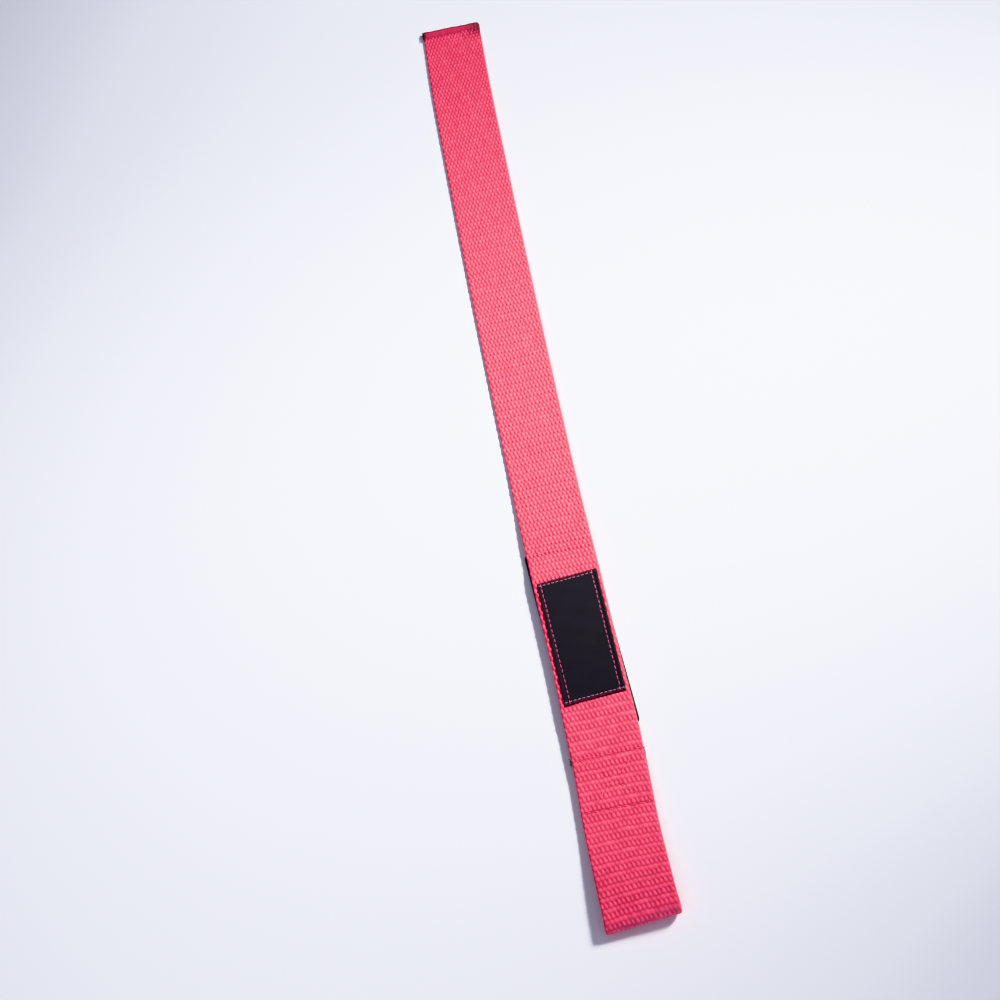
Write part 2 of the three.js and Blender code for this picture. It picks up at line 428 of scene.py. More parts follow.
# A stitch: points along it, random step of its ends, how deep they dive, how far its middle
# rises over them and how square its arch is. Thread narrows by a share towards its ends
STITCH_SEED = 5
STITCH_RINGS = 7
STITCH_WOBBLE = 0.1
STITCH_DIVE = 0.45
STITCH_RISE = 0.5
STITCH_BLUNT = 0.3
THREAD_NARROWS = 0.85

# Tufts of singed yarn: name, place along the strap, across and up, number of fibres, seed,
# way that they lean across, and size
TUFTS = (
    ("tuft_fold_left", FOLDED_END - 1.5, -19.8 + FOLD_DRIFT, 1.8, 18, 31, -0.3, 0.9),
    ("tuft_fold_right", FOLDED_END - 1.0, 19.0 + FOLD_DRIFT, 1.6, 6, 32, 0.0, 0.35),
    ("tuft_tail_left", STRAP_LENGTH - 2.9, -18.5, 2.4, 48, 33, -0.5, 1.3),
)
TUFT_LOWEST = 0.15
FIBRE_RADIUS = 0.17
FIBRE_RINGS = 6
FIBRE_SIDES = 5

# How the fibres of a tuft of size 1 differ across, along and up, in mm: where they root, how
# they reach and how they curl
ROOT_SPREAD = np.array((0.42, 1.0, 0.35))
REACH_SPREAD = np.array((0.2, 0.6, 0.3))
CURL_SPREAD = np.array((0.2, 0.4, 0.3))


def linear(code):
    """Linear colour of an sRGB hex code."""
    shares = [int(code[at:at + 2], 16) / 255 for at in (1, 3, 5)]
    return tuple(s / 12.92 if s <= 0.04045 else ((s + 0.055) / 1.055) ** 2.4 for s in shares)


def length_of(value, name, description):
    """A length property, in metres."""
    return FloatProperty(
        name=name, description=description, default=value * MM, min=0.0, precision=5,
        subtype="DISTANCE", unit="LENGTH",
    )


def colour_of(code, name, description):
    """A colour property, kept in linear colour."""
    return FloatVectorProperty(
        name=name, description=description, default=linear(code), size=3, min=0.0, max=1.0,
        subtype="COLOR",
    )


class StrapWeave(bpy.types.PropertyGroup):
    """Sizes of the webbing's weave."""

    ends: IntProperty(
        name="Warp ends", description="Yarns side by side across the webbing", default=34, min=8,
    )
    row_pitch: length_of(2.73, "Row pitch", "Length of one float along the strap")
    relief: length_of(0.58, "Relief", "From the crests of the floats to the gaps between them")
    float_width: FloatProperty(
        name="Float width", description="Half width of a float, as a share of the spacing",
        default=0.83, min=0.5, max=1.0,
    )


class StrapThread(bpy.types.PropertyGroup):
    """Sizes of the sewing and overlock threads."""

    stitch_length: length_of(2.5, "Stitch length", "Length of thread that shows in one stitch")
    stitch_gap: length_of(1.2, "Stitch gap", "Space between one stitch and the next")
    short_stitch: length_of(1.9, "Short stitch", "Length that shows across the label's ends")
    short_gap: length_of(0.45, "Short gap", "Space between stitches round the label")
    diameter: length_of(0.36, "Thread diameter", "Diameter of the sewing thread")
    whip_pitch: length_of(0.55, "Overlock pitch", "Space between threads round a cut end")


class StrapColours(bpy.types.PropertyGroup):
    """Colours of the strap's materials."""

    webbing: colour_of("#f64e72", "Webbing floats", "Crests of the dyed cotton yarns")
    webbing_gap_shade: colour_of("#b4394b", "Webbing gaps", "Painted shade deep between the yarns")
    overlock: colour_of("#d02a53", "Overlock thread", "Thread round the cut ends")
    seam: colour_of("#fb5c80", "Seam thread", "Thread of the seams through the webbing")
    stitching: colour_of("#c04a74", "Side thread", "Thread down the label's sides")
    end_stitching: colour_of("#b8748c", "End thread", "Faded thread across the label's ends")
    pad: colour_of("#18171b", "Wrist pad", "Knit face of the neoprene")
    label: colour_of("#18161a", "Label", "Woven ground of the label")
    hem: colour_of("#4a1624", "Label hem", "Red yarn that shows through at the label's cut ends")
    rubbed: colour_of("#ff829c", "Painted fold light", "Painted light on the fold's shaded front")
    bloom: colour_of("#ffcbd7", "Cotton bloom", "Light caught by the cotton's surface fibres")
    singed: colour_of("#2a1115", "Singed ends", "Yarn ends melted brown")
    floor: colour_of("#f0f1f3", "Floor", "Surface that the strap lies on")
    fill: colour_of("#e2e4ff", "Fill light", "Light from all round")


class StrapStage(bpy.types.PropertyGroup):
    """Camera and lights."""

    lens: FloatProperty(
        name="Lens", description="Focal length of the camera", default=60.48, unit="CAMERA",
    )
    pool_power: FloatProperty(
        name="Pool light", description="Power of the lamp's inner pool", default=354.0, min=0.0,
        unit="POWER",
    )
    wide_power: FloatProperty(
        name="Wide light", description="Power of the lamp's outer spread", default=245.0, min=0.0,
        unit="POWER",
    )
    pool_radius: length_of(130, "Pool radius", "Radius of the inner lamp")
    wide_radius: length_of(260, "Wide radius", "Radius of the outer lamp")
    fill: FloatProperty(
        name="Fill light", description="Strength of the light from all round", default=0.45,
        min=0.0,
    )


def ease(share):
    """Smooth step from 0 to 1 along half a cosine wave."""
    return (1 - np.cos(np.pi * np.clip(share, 0, 1))) / 2


def mix(low, high, share):
    """Straight mix of two values."""
    return low + (high - low) * share


def bearing(place):
    """Underside of the upper run: rests at each row's height and eases to the next."""
    at, height = BEARING.T
    row = np.clip(np.searchsorted(at, place) - 1, 0, len(at) - 2)
    share = (place - at[row]) / (at[row + 1] - at[row])
    return mix(height[row], height[row + 1], ease(share))


def wander(place):
    """Sideways shift: a cubic through each row, with slopes taken from its neighbours."""
    at, shift = WANDER.T
    slope = np.gradient(shift, at, edge_order=1)
    slope[1:-1] = (shift[2:] - shift[:-2]) / (at[2:] - at[:-2])
    along = np.clip(1 - place / STRAP_LENGTH, 0, 1)
    row = np.clip(np.searchsorted(at, along) - 1, 0, len(at) - 2)
    run = at[row + 1] - at[row]
    t = (along - at[row]) / run
    curve = (
        shift[row] * (1 + 2 * t) * (1 - t) ** 2
        + shift[row + 1] * t * t * (3 - 2 * t)
        + slope[row] * run * t * (1 - t) ** 2
        - slope[row + 1] * run * t * t * (1 - t)
    )
    return curve * WIDTH


def frame_shift():
    """From the strap's own lengths to the frame's, found at the tip of the tail."""
    low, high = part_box("tail_binding")
    return (low.x + high.x) / 2 / MM - TIP_WANDER, high.y / MM - STRAP_LENGTH / 2


SHIFT_X, SHIFT_Y = frame_shift()


def squeeze(run):
    """1 under the thread at either cut end of the band, easing to 0 away from it."""
    distance = np.minimum(run, BAND_END + CUT_INSET - run)
    return 1 - ease((distance - BINDING_DEPTH + CUT_MARGIN) / CUT_TAPER)


def middle(run, side):
    """Middle surface of the band. The run goes along it from the tip of the tail: along the
    upper run, half a turn round the fold and back along the lower run. Side goes from -0.5
    to 0.5 across. The fold's radius grows towards the right, and the whole loop slants."""
    run, side = np.broadcast_arrays(np.asarray(run, float), np.asarray(side, float))
    gap = LOOP_GAP + LOOP_TILT * side - LOOP_SAG * np.clip(0.5 - side, 0, 1) ** 2
    radius = (gap + THICKNESS) / 2
    turned = radius + THICKNESS / 2
    low = THICKNESS / 2
    angle = np.clip((run - FOLD_START) / FOLD_RADIUS, 0, np.pi)
    upper, lower = run <= FOLD_START, run >= FOLD_END
    place = np.where(lower, FOLD_RADIUS + low + run - FOLD_END, STRAP_LENGTH - run)
    open_length = LOOP_LENGTH - FOLD_RADIUS - low
    in_loop = mix(turned, LOOP_LENGTH, (place - FOLD_RADIUS - low) / open_length)
    along = np.where(place < LOOP_LENGTH, in_loop, place)
    along = np.where(upper | lower, along, turned - radius * np.sin(angle))
    opening = mix(bearing(LOOP_LENGTH), 2 * radius, ease((LOOP_LENGTH - place) / open_length))
    height = np.where(place < LOOP_LENGTH, opening, bearing(place)) + low
    height = np.where(lower, low, height)
    height = np.where(upper | lower, height, low + radius * (1 + np.cos(angle)))
    height = mix(height, BINDING_HEIGHT / 2, squeeze(run))
    drift = np.where(lower, FOLD_DRIFT * along / FOLDED_END, 0)
    reach = ease(1 - np.maximum(along, 0) / LOOP_LENGTH) ** 2
    wide = WIDTH * np.interp(run, *WIDTHS.T)
    return np.stack((
        wander(along) + drift + side * wide + SHIFT_X,
        along + LOOP_SLANT * side * reach - STRAP_LENGTH / 2 + SHIFT_Y,
        height,
    ), axis=-1)


def outward(run, side):
    """Direction out of the band's outer face: its heading along the run, turned a quarter."""
    heading = middle(run + PROBE, side) - middle(run - PROBE, side)
    heading[..., 0] = 0
    heading /= np.linalg.norm(heading, axis=-1, keepdims=True)
    return np.stack((heading[..., 0], heading[..., 2], -heading[..., 1]), axis=-1)


def on_webbing(run, across, lift):
    """Point on the band's outer face, lifted off it, with the direction out of the face."""
    side = across / WIDTH
    normal = outward(run, side)
    half = mix(THICKNESS, CUT_THICKNESS, squeeze(run)) / 2
    return middle(run, side) + normal * (half + lift)[..., None], normal


def label_point(across, place, height):
    """Point over the label's place on the webbing, a little out of square with it."""
    along = place + LABEL_SLANT * across / LABEL_WIDTH
    return np.stack((
        wander(along) + LABEL_OFFSET + across + SHIFT_X,
        along - STRAP_LENGTH / 2 + SHIFT_Y,
        bearing(along) + THICKNESS + height,
    ), axis=-1)


def pad_middle(place):
    """Sideways place of the pad's middle, which lies on one straight line."""
    share = (PAD_END - place) / (PAD_END - PAD_START)
    at_tail = wander(PAD_END) + PAD_OFFSETS[0]
    at_loop = wander(PAD_START) + PAD_OFFSETS[1]
    return mix(at_tail, at_loop, share) + SHIFT_X


def waves(table, first, second):
    """Sum of slow sine waves over two measures. Each row holds a wave's height, and its turn
    in radians for each unit of the first and of the second measure."""
    return sum(height * np.sin(a * first + b * second) for height, a, b in table)


def spots(first, second, turns):
    """Spots from 0 to 1: a sine of the first measure, which sways with the second."""
    turn, sway, sway_turn = turns
    return 0.5 + 0.5 * np.sin(turn * first + sway * np.sin(sway_turn * second))


def line_dip(run, across, line, width, depth):
    """Groove along a straight row of stitches: a bell curve of the distance from it, which
    fades out beyond the row's ends."""
    (run_a, across_a), (run_b, across_b) = line
    step = np.array((run_b - run_a, across_b - across_a))
    length = np.hypot(*step)
    ahead, aside = (run - run_a), (across - across_a)
    along = (ahead * step[0] + aside * step[1]) / length
    off = (ahead * step[1] - aside * step[0]) / length
    starts = ease((along + SEAM_FADE) / SEAM_FADE)
    ends = ease((length + SEAM_FADE - along) / SEAM_FADE)
    return depth * starts * ends * np.exp(-((off / width) ** 2))


def weave(columns, rows, parity, lies, sizes):
    """Height over the gaps' floor, as a share of the relief, and a value that differs from
    float to float. Yarns float over every second row, with their neighbours one row behind.
    Each float is a dome: the squares of its offsets across and along, as shares of its half
    width and reach, are taken from 1. The highest of the three nearest yarns shows. Lies
    holds lean, bow, fullness, taper and reach. The fuller every second row is, the more its
    floats are broad, low and blunt and run into a ridge. The floats between those are then
    slim, and reach further towards the tail than towards the loop."""
    lean, bow, fuller, taper, reach = lies
    table = np.random.default_rng(FLOAT_SEED).normal(size=(FLOAT_ROWS, sizes.ends))
    rows = rows + waves(BEAT_UP, columns, rows)
    best = np.zeros(np.broadcast(columns, rows).shape)
    shade = np.zeros_like(best)
    for step in (-1, 0, 1):
        yarn = np.clip(np.floor(columns) + step, 0, sizes.ends - 1).astype(int)
        phase = rows + yarn + parity
        floats = np.rint(phase / 2).astype(int)
        ahead = phase - 2 * floats
        swell = table[floats % FLOAT_ROWS, yarn]
        full = (yarn + parity) % 2
        broad = sizes.float_width + fuller * mix(SLIM_GROWTH, FULL_GROWTH, full)
        half = broad * (1 + SWELL_WIDTH * swell)
        uneven = np.where(ahead > 0, 1 - SLIM_TO_LOOP * fuller, 1 + SLIM_TO_TAIL * fuller)
        length = (reach - FULL_SHORTER * fuller * full) * mix(uneven, 1, full)
        bowed = bow * (2 * full - 1) * (1 - 2 * np.abs(ahead))
        ahead = ahead - FLOAT_SHIFT * fuller
        leant = lean * ahead * (1 - FULL_UPRIGHT * fuller * full)
        centre = yarn + 0.5 + bowed + leant + SWELL_PLACE * swell
        half = half * (1 + taper * (1 - full) * np.clip(ahead / length, -1, 1))
        blunt = 2 - FULL_BLUNT * fuller * full
        spread = ((columns - centre) / half) ** 2 + np.abs(ahead / length) ** blunt
        crown = 1 - FULL_LOWER * fuller * full + SWELL_HEIGHT * swell
        height = np.clip(1 - spread, 0, 1) * crown
        shade = np.where(height > best, swell, shade)
        best = np.maximum(best, height)
    return best, shade


def row_tilt(run, across):
    """How far the rows lie towards the tail: on the loop they stay nearly square to the
    strap, though the fold slants, so the tilt follows part of the slant."""
    near_fold = ease(1 - np.abs(STRAP_LENGTH - run) / LOOP_LENGTH) ** 2
    slant = ROWS_FOLLOW_SLANT * LOOP_SLANT / WIDTH * near_fold
    return (ROW_LEAN * ease((run - ROW_LEAN_START) / ROW_LEAN_FADE) + slant) * across


def section(ends):
    """Outline of the webbing's section: across, angle of the way out, and place among the
    yarns. Flat faces are sampled evenly and each selvedge is half a turn."""
    reach = (WIDTH - THICKNESS) / 2
    flat = np.append((np.arange(1, ends - 1)[:, None] + COLUMN_SAMPLES).ravel(), ends - 1)
    turn = np.linspace(0.5, -0.5, EDGE_SAMPLES + 2)[1:-1] * np.pi
    turned = 1 - np.abs(turn) / (np.pi / 2)
    columns = np.concatenate((flat, ends - 1 + turned, flat[::-1], 1 - turned))
    across = (np.clip(columns, 1, ends - 1) - 1) / (ends - 2) * 2 * reach - reach
    angle = np.concatenate((
        np.full(len(flat), np.pi / 2), turn, np.full(len(flat), -np.pi / 2), np.pi - turn[::-1],
    ))
    return across, angle, columns


def add_mesh(name, vertices, quads, triangles, material, values=None, uv=None, sharp=None):
    """Mesh object from arrays in mm, at the origin, with named values and a UV map for each
    vertex. Edges between two vertices marked as sharp are sharp."""
    mesh = bpy.data.meshes.new(name)
    faces = quads.tolist() + ([] if triangles is None else triangles.tolist())
    mesh.from_pydata((vertices * MM).tolist(), [], faces)
    mesh.polygons.foreach_set("use_smooth", np.ones(len(faces), bool))
    for key, value in (values or {}).items():
        attribute = mesh.attributes.new(key, "FLOAT", "POINT")
        attribute.data.foreach_set("value", np.asarray(value, np.float32).ravel())
    if uv is not None:
        corners = np.empty(len(mesh.loops), np.int32)
        mesh.loops.foreach_get("vertex_index", corners)
        layer = mesh.uv_layers.new(name="Cloth")
        layer.data.foreach_set("uv", uv[corners].astype(np.float32).ravel())
    if sharp is not None:
        ends = np.empty(len(mesh.edges) * 2, np.int32)
        mesh.edges.foreach_get("vertices", ends)
        marked = np.all(sharp[ends.reshape(-1, 2)], axis=1)
        attribute = mesh.attributes.new("sharp_edge", "BOOLEAN", "EDGE")
        attribute.data.foreach_set("value", marked)
    mesh.materials.append(material)
    mesh.update()
    piece = bpy.data.objects.new(name, mesh)
    bpy.context.scene.collection.objects.link(piece)
    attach(piece, "root")
    return piece


def loft_faces(rings, count):
    """Quads between rings of points that follow each other, each ring closed on itself."""
    ring = np.arange(rings - 1)[:, None] * count
    point = np.arange(count)[None, :]
    after = (point + 1) % count
    corners = (ring + point, ring + count + point, ring + count + after, ring + after)
    return np.stack(corners, -1).reshape(-1, 4)


def end_fans(rings, count, middle_point):
    """Triangles over both ends of lofted rings, each end a fan round a point of its own. The
    first end's point has the number given, and the last end's the next."""
    point = np.arange(count)
    after = (point + 1) % count
    last = (rings - 1) * count
    return np.vstack((
        np.stack((point, after, np.full(count, middle_point)), -1),
        np.stack((last + after, last + point, np.full(count, middle_point + 1)), -1),
    ))


def capped_loft(points):
    """Vertices, quads and end triangles of a closed body through rings of points. Each end
    is a fan round its own middle."""
    rings, count = points.shape[:2]
    flat = points.reshape(-1, 3)
    vertices = np.vstack((flat, points[0].mean(0), points[-1].mean(0)))
    return vertices, loft_faces(rings, count), end_fans(rings, count, len(flat))


def grid_faces(rows, columns, start=0, flip=False):
    """Quads of a grid of points."""
    row = np.arange(rows - 1)[:, None] * columns
    column = np.arange(columns - 1)[None, :]
    quads = np.stack((
        row + column, row + column + 1, row + columns + column + 1, row + columns + column,
    ), -1).reshape(-1, 4) + start
    return quads[:, ::-1] if flip else quads


def slab(top, bottom):
    """Closed body between two grids of points with the same border: both grids, and a strip
    of quads round their edges."""
    rows, columns = top.shape[:2]
    count = rows * columns
    index = np.arange(count).reshape(rows, columns)
    border = np.concatenate((index[0, :-1], index[:-1, -1], index[-1, :0:-1], index[:0:-1, 0]))
    after = np.roll(border, -1)
    sides = np.stack((border, border + count, after + count, after), -1)
    quads = np.vstack((grid_faces(rows, columns), grid_faces(rows, columns, count, True), sides))
    return np.vstack((top.reshape(-1, 3), bottom.reshape(-1, 3))), quads


def threads(centres, normals, radius, sides=6):
    """Closed round threads, each through its own row of centres: rings square to the heading,
    narrowed towards the ends, with a fan of triangles over each end."""
    count, rings = centres.shape[:2]
    heading = np.gradient(centres, axis=1)
    heading /= np.linalg.norm(heading, axis=-1, keepdims=True)
    across = np.cross(heading, normals)
    across /= np.linalg.norm(across, axis=-1, keepdims=True)
    rise = np.cross(across, heading)
    share = np.linspace(-1, 1, rings)
    thick = radius * np.sqrt(np.clip(1 - THREAD_NARROWS * share ** 6, 0, 1))
    angle = np.arange(sides) * 2 * np.pi / sides
    spoke = (
        across[:, :, None] * np.cos(angle)[:, None] + rise[:, :, None] * np.sin(angle)[:, None]
    )
    points = centres[:, :, None] + spoke * thick[None, :, None, None]
    each = rings * sides + 2
    ends = np.stack((centres[:, 0], centres[:, -1]), axis=1)
    vertices = np.concatenate((points.reshape(count, -1, 3), ends), axis=1).reshape(-1, 3)
    offset = np.arange(count)[:, None, None] * each
    quads = (loft_faces(rings, sides)[None] + offset).reshape(-1, 4)
    fans = (end_fans(rings, sides, each - 2)[None] + offset).reshape(-1, 3)
    return vertices, quads, fans


def stitch_rows(lines, place_on, stand, length, gap):
    """Centres and normals of every stitch along straight lines on a surface. A stitch rises
    out of the cloth like half a sine wave and dives back in at both ends. The whole row
    stands out from the surface by a length of its own."""
    starts, ends = [], []
    for line in lines:
        a, b = np.array(line[0], float), np.array(line[1], float)
        whole = np.linalg.norm(b - a)
        count = max(round((whole + gap) / (length + gap)), 1)
        pitch = (whole + gap) / count
        begin = np.arange(count) * pitch
        starts.append(a + (b - a) * (begin / whole)[:, None])
        ends.append(a + (b - a) * ((begin + pitch - gap) / whole)[:, None])
    starts, ends = np.vstack(starts), np.vstack(ends)
    wobble = np.random.default_rng(STITCH_SEED).normal(scale=STITCH_WOBBLE, size=(2, *starts.shape))
    starts, ends = starts + wobble[0], ends + wobble[1]
    share = np.linspace(0, 1, STITCH_RINGS)
    at = starts[:, None] + (ends - starts)[:, None] * share[None, :, None]
    lift = stand - STITCH_DIVE + STITCH_RISE * np.sin(np.pi * share) ** STITCH_BLUNT
    return place_on(at[..., 0], at[..., 1], np.broadcast_to(lift, at.shape[:2]))


def add_node(tree, kind, inputs=None, **settings):
    """Adds a node with its settings, and sets or links its inputs. A link is given as the
    node that it comes from and the name or number of its output."""
    node = tree.nodes.new(kind)
    for key, value in settings.items():
        setattr(node, key, value)
    for key, value in (inputs or {}).items():
        if isinstance(value, tuple) and isinstance(value[0], bpy.types.Node):
            tree.links.new(value[0].outputs[value[1]], node.inputs[key])
        else:
            node.inputs[key].default_value = value
    return node


def new_material(name):
    """Empty node material."""
    material = bpy.data.materials.new(name)
    material.use_nodes = True
    material.node_tree.nodes.clear()
    return material, material.node_tree


def opaque(colour):
    """Colour with full alpha."""
    return (*colour, 1.0)


def uneven_dye_and_shade(tree, ground, value, sources):
    """Ground colour made darker or lighter from place to place, by dye that differs or by painted
    shade. Its value starts from a number, and each source adds its own share."""
    for source, share in sources:
        step = add_node(
            tree, "ShaderNodeMath", {0: source, 1: share, 2: value}, operation="MULTIPLY_ADD",
        )
        value = (step, 0)
    return add_node(tree, "ShaderNodeHueSaturation", {"Value": value, "Color": ground})


def cotton_webbing():
    """Heavy cotton yarn, piece-dyed coral and woven under tension. Dyed fibre is matt with a soft
    bloom. Shade is painted deeper in the gaps between the floats, and light is painted on the
    fold's shaded front."""
    colours = bpy.context.scene.strap_colours
    material, tree = new_material("Piece-dyed woven cotton")
    weave_value, shade, rubbed, singed = (
        add_node(tree, "ShaderNodeAttribute", attribute_name=name)
        for name in ("weave", "shade", "rubbed", "singed")
    )
    place = add_node(tree, "ShaderNodeTexCoord")
    cloth = add_node(tree, "ShaderNodeUVMap", uv_map="Cloth")
    # Painted shade: the deeper a point lies between the floats, the more it takes of the darker gap
    # colour
    depth = add_node(
        tree, "ShaderNodeMapRange",
        {"Value": (weave_value, "Fac"), "From Min": 0.0, "From Max": 0.76},
    )
    ground = add_node(
        tree, "ShaderNodeMix",
        {0: (depth, 0), 6: opaque(colours.webbing_gap_shade), 7: opaque(colours.webbing)},
        data_type="RGBA",
    )
    # Painted light: the fold's front, which lies in shade, is mixed towards a paler pink
    ground = add_node(
        tree, "ShaderNodeMix",
        {0: (rubbed, "Fac"), 6: (ground, 2), 7: opaque(colours.rubbed)}, data_type="RGBA",
    )
    # Uneven dye in patches some 17 mm wide, and fibres bundled to 0.6 mm so that they show
    blotch = add_node(
        tree, "ShaderNodeTexNoise",
        {"Vector": (place, "Object"), "Scale": 0.06 / MM, "Detail": 3.0},
    )
    fibre = add_node(
        tree, "ShaderNodeTexNoise",
        {"Vector": (place, "Object"), "Scale": 1.8 / MM, "Detail": 2.0},
    )
    sources = (((shade, "Fac"), 0.05), ((blotch, "Fac"), 0.1), ((fibre, "Fac"), 0.06))
    dyed = uneven_dye_and_shade(tree, (ground, 2), 0.94, sources)
    colour = add_node(
        tree, "ShaderNodeMix",
        {0: (singed, "Fac"), 6: (dyed, "Color"), 7: opaque(colours.singed)}, data_type="RGBA",
    )
    # Plies twisted at 32 degrees, with a band every 0.5 mm of the cloth's own map
    ply = add_node(
        tree, "ShaderNodeMapping", {"Vector": (cloth, "UV"), "Rotation": (0, 0, math.radians(32))},
    )
    twist = add_node(
        tree, "ShaderNodeTexWave",
        {
            "Vector": (ply, "Vector"),
            "Scale": 0.6,
            "Distortion": 1.2,
            "Detail": 2.0,
            "Detail Scale": 2.0,
        },
        bands_direction="Y",
    )
    twist_bump = add_node(
        tree, "ShaderNodeBump",
        {"Height": (twist, "Fac"), "Strength": 0.5, "Distance": 0.06 * MM},
    )
    fibre_bump = add_node(
        tree, "ShaderNodeBump",
        {
            "Height": (fibre, "Fac"),
            "Strength": 0.5,
            "Distance": 0.08 * MM,
            "Normal": (twist_bump, "Normal"),
        },
    )
    shader = add_node(
        tree, "ShaderNodeBsdfPrincipled",
        {
            "Base Color": (colour, 2),
            "Roughness": 0.88,
            "Specular IOR Level": 0.3,
            "Sheen Weight": 0.08,
            "Sheen Roughness": 0.5,
            "Sheen Tint": opaque(colours.bloom),
            "Normal": (fibre_bump, "Normal"),
        },
    )
    add_node(tree, "ShaderNodeOutputMaterial", {"Surface": (shader, "BSDF")})
    return material


def overlock_thread():
    """Spun polyester thread, packed side by side: crimson with a slight gloss along it. Shade is
    painted darker between one thread and the next, and towards the binding's open side."""
    colours = bpy.context.scene.strap_colours
    material, tree = new_material("Spun polyester overlock thread")
    strand, ridge, singed = (
        add_node(tree, "ShaderNodeAttribute", attribute_name=name)
        for name in ("strand", "ridge", "singed")
    )
    place = add_node(tree, "ShaderNodeTexCoord")
    # Spun fibres, bundled to 0.4 mm so that they show
    fibre = add_node(
        tree, "ShaderNodeTexNoise",
        {"Vector": (place, "Object"), "Scale": 2.4 / MM, "Detail": 2.0},
    )
    # Painted shade: the ridge value darkens the thread between one thread and the next, and the
    # whole binding towards its open side; the strand value is each thread's own tone
    sources = (((ridge, "Fac"), 0.55), ((strand, "Fac"), 0.09))
    dyed = uneven_dye_and_shade(tree, opaque(colours.overlock), 0.45, sources)
    colour = add_node(
        tree, "ShaderNodeMix",
        {0: (singed, "Fac"), 6: (dyed, "Color"), 7: opaque(colours.singed)}, data_type="RGBA",
    )
    bump = add_node(
        tree, "ShaderNodeBump",
        {"Height": (fibre, "Fac"), "Strength": 0.4, "Distance": 0.06 * MM},
    )
    shader = add_node(
        tree, "ShaderNodeBsdfPrincipled",
        {
            "Base Color": (colour, 2),
            "Roughness": 0.62,
            "Specular IOR Level": 0.4,
            "Sheen Weight": 0.15,
            "Sheen Roughness": 0.4,
            "Normal": (bump, "Normal"),
        },
    )
    add_node(tree, "ShaderNodeOutputMaterial", {"Surface": (shader, "BSDF")})
    return material


def sewing_thread(name, ground):
    """Bonded polyester sewing thread: smooth, a little glossier than the cotton."""
    material, tree = new_material(name)
    place = add_node(tree, "ShaderNodeTexCoord")
    # The thread's plies, one every 1.1 mm
    ply = add_node(
        tree, "ShaderNodeTexNoise",
        {"Vector": (place, "Object"), "Scale": 0.9 / MM, "Detail": 2.0},
    )
    dyed = uneven_dye_and_shade(tree, opaque(ground), 0.82, (((ply, "Fac"), 0.35),))
    bump = add_node(
        tree, "ShaderNodeBump", {"Height": (ply, "Fac"), "Strength": 0.5, "Distance": 0.1 * MM},
    )
    shader = add_node(
        tree, "ShaderNodeBsdfPrincipled",
        {
            "Base Color": (dyed, "Color"),
            "Roughness": 0.55,
            "Sheen Weight": 0.15,
            "Normal": (bump, "Normal"),
        },
    )
    add_node(tree, "ShaderNodeOutputMaterial", {"Surface": (shader, "BSDF")})
    return material


def knit_neoprene():
    """Foam rubber faced with fine nylon jersey: near black, dull, with tiny knit loops."""
    colours = bpy.context.scene.strap_colours
    material, tree = new_material("Jersey-faced neoprene")
    place = add_node(tree, "ShaderNodeTexCoord")
    # Knit loops 0.7 mm wide and 1.1 mm long, about twice the real size so that they show
    loops = add_node(
        tree, "ShaderNodeMapping",
        {"Vector": (place, "Object"), "Scale": (1.4 / MM, 0.9 / MM, 1.4 / MM)},
    )
    knit = add_node(
        tree, "ShaderNodeTexVoronoi",
        {"Vector": (loops, "Vector"), "Scale": 1.0, "Randomness": 0.35},
    )
    cloud = add_node(
        tree, "ShaderNodeTexNoise",
        {"Vector": (place, "Object"), "Scale": 0.09 / MM, "Detail": 3.0},
    )
    sources = (((cloud, "Fac"), 0.5), ((knit, "Distance"), 0.45))
    dyed = uneven_dye_and_shade(tree, opaque(colours.pad), 0.75, sources)
    bump = add_node(
        tree, "ShaderNodeBump",
        {"Height": (knit, "Distance"), "Strength": 0.6, "Distance": 0.12 * MM}, invert=True,
    )
    shader = add_node(
        tree, "ShaderNodeBsdfPrincipled",
        {
            "Base Color": (dyed, "Color"),
            "Roughness": 0.85,
            "Specular IOR Level": 0.3,
            "Sheen Weight": 0.2,
            "Sheen Roughness": 0.45,
            "Normal": (bump, "Normal"),
        },
    )
    add_node(tree, "ShaderNodeOutputMaterial", {"Surface": (shader, "BSDF")})
    return material


def woven_label():
    """Damask-woven polyester: fine black satin ground, ribbed along and across."""
    colours = bpy.context.scene.strap_colours
    material, tree = new_material("Damask-woven polyester satin")
    cloth = add_node(tree, "ShaderNodeUVMap", uv_map="Cloth")
    place = add_node(tree, "ShaderNodeTexCoord")
    # Ribs every 0.45 mm along and 0.29 mm across, coarser than the real yarns so that they show
    weft, warp = (
        add_node(
            tree, "ShaderNodeTexWave",
            {"Vector": (cloth, "UV"), "Scale": scale, "Distortion": 0.6, "Detail": 1.0},
            bands_direction=direction,
        )
        for scale, direction in ((0.7, "Y"), (1.1, "X"))
    )
    lattice = add_node(
        tree, "ShaderNodeMath", {0: (weft, "Fac"), 1: (warp, "Fac")}, operation="ADD",
    )
    cloud = add_node(
        tree, "ShaderNodeTexNoise",
        {"Vector": (place, "Object"), "Scale": 0.11 / MM, "Detail": 3.0},
    )
    hem = add_node(tree, "ShaderNodeAttribute", attribute_name="hem")
    ground = add_node(
        tree, "ShaderNodeMix",
        {0: (hem, "Fac"), 6: opaque(colours.label), 7: opaque(colours.hem)}, data_type="RGBA",
    )
    dyed = uneven_dye_and_shade(tree, (ground, 2), 0.6, (((lattice, 0), 0.22), ((cloud, "Fac"), 0.35)))
    bump = add_node(
        tree, "ShaderNodeBump", {"Height": (lattice, 0), "Strength": 0.5, "Distance": 0.08 * MM},
    )
    shader = add_node(
        tree, "ShaderNodeBsdfPrincipled",
        {
            "Base Color": (dyed, "Color"),
            "Roughness": 0.7,
            "Specular IOR Level": 0.2,
            "Normal": (bump, "Normal"),
        },
    )
    add_node(tree, "ShaderNodeOutputMaterial", {"Surface": (shader, "BSDF")})
    return material


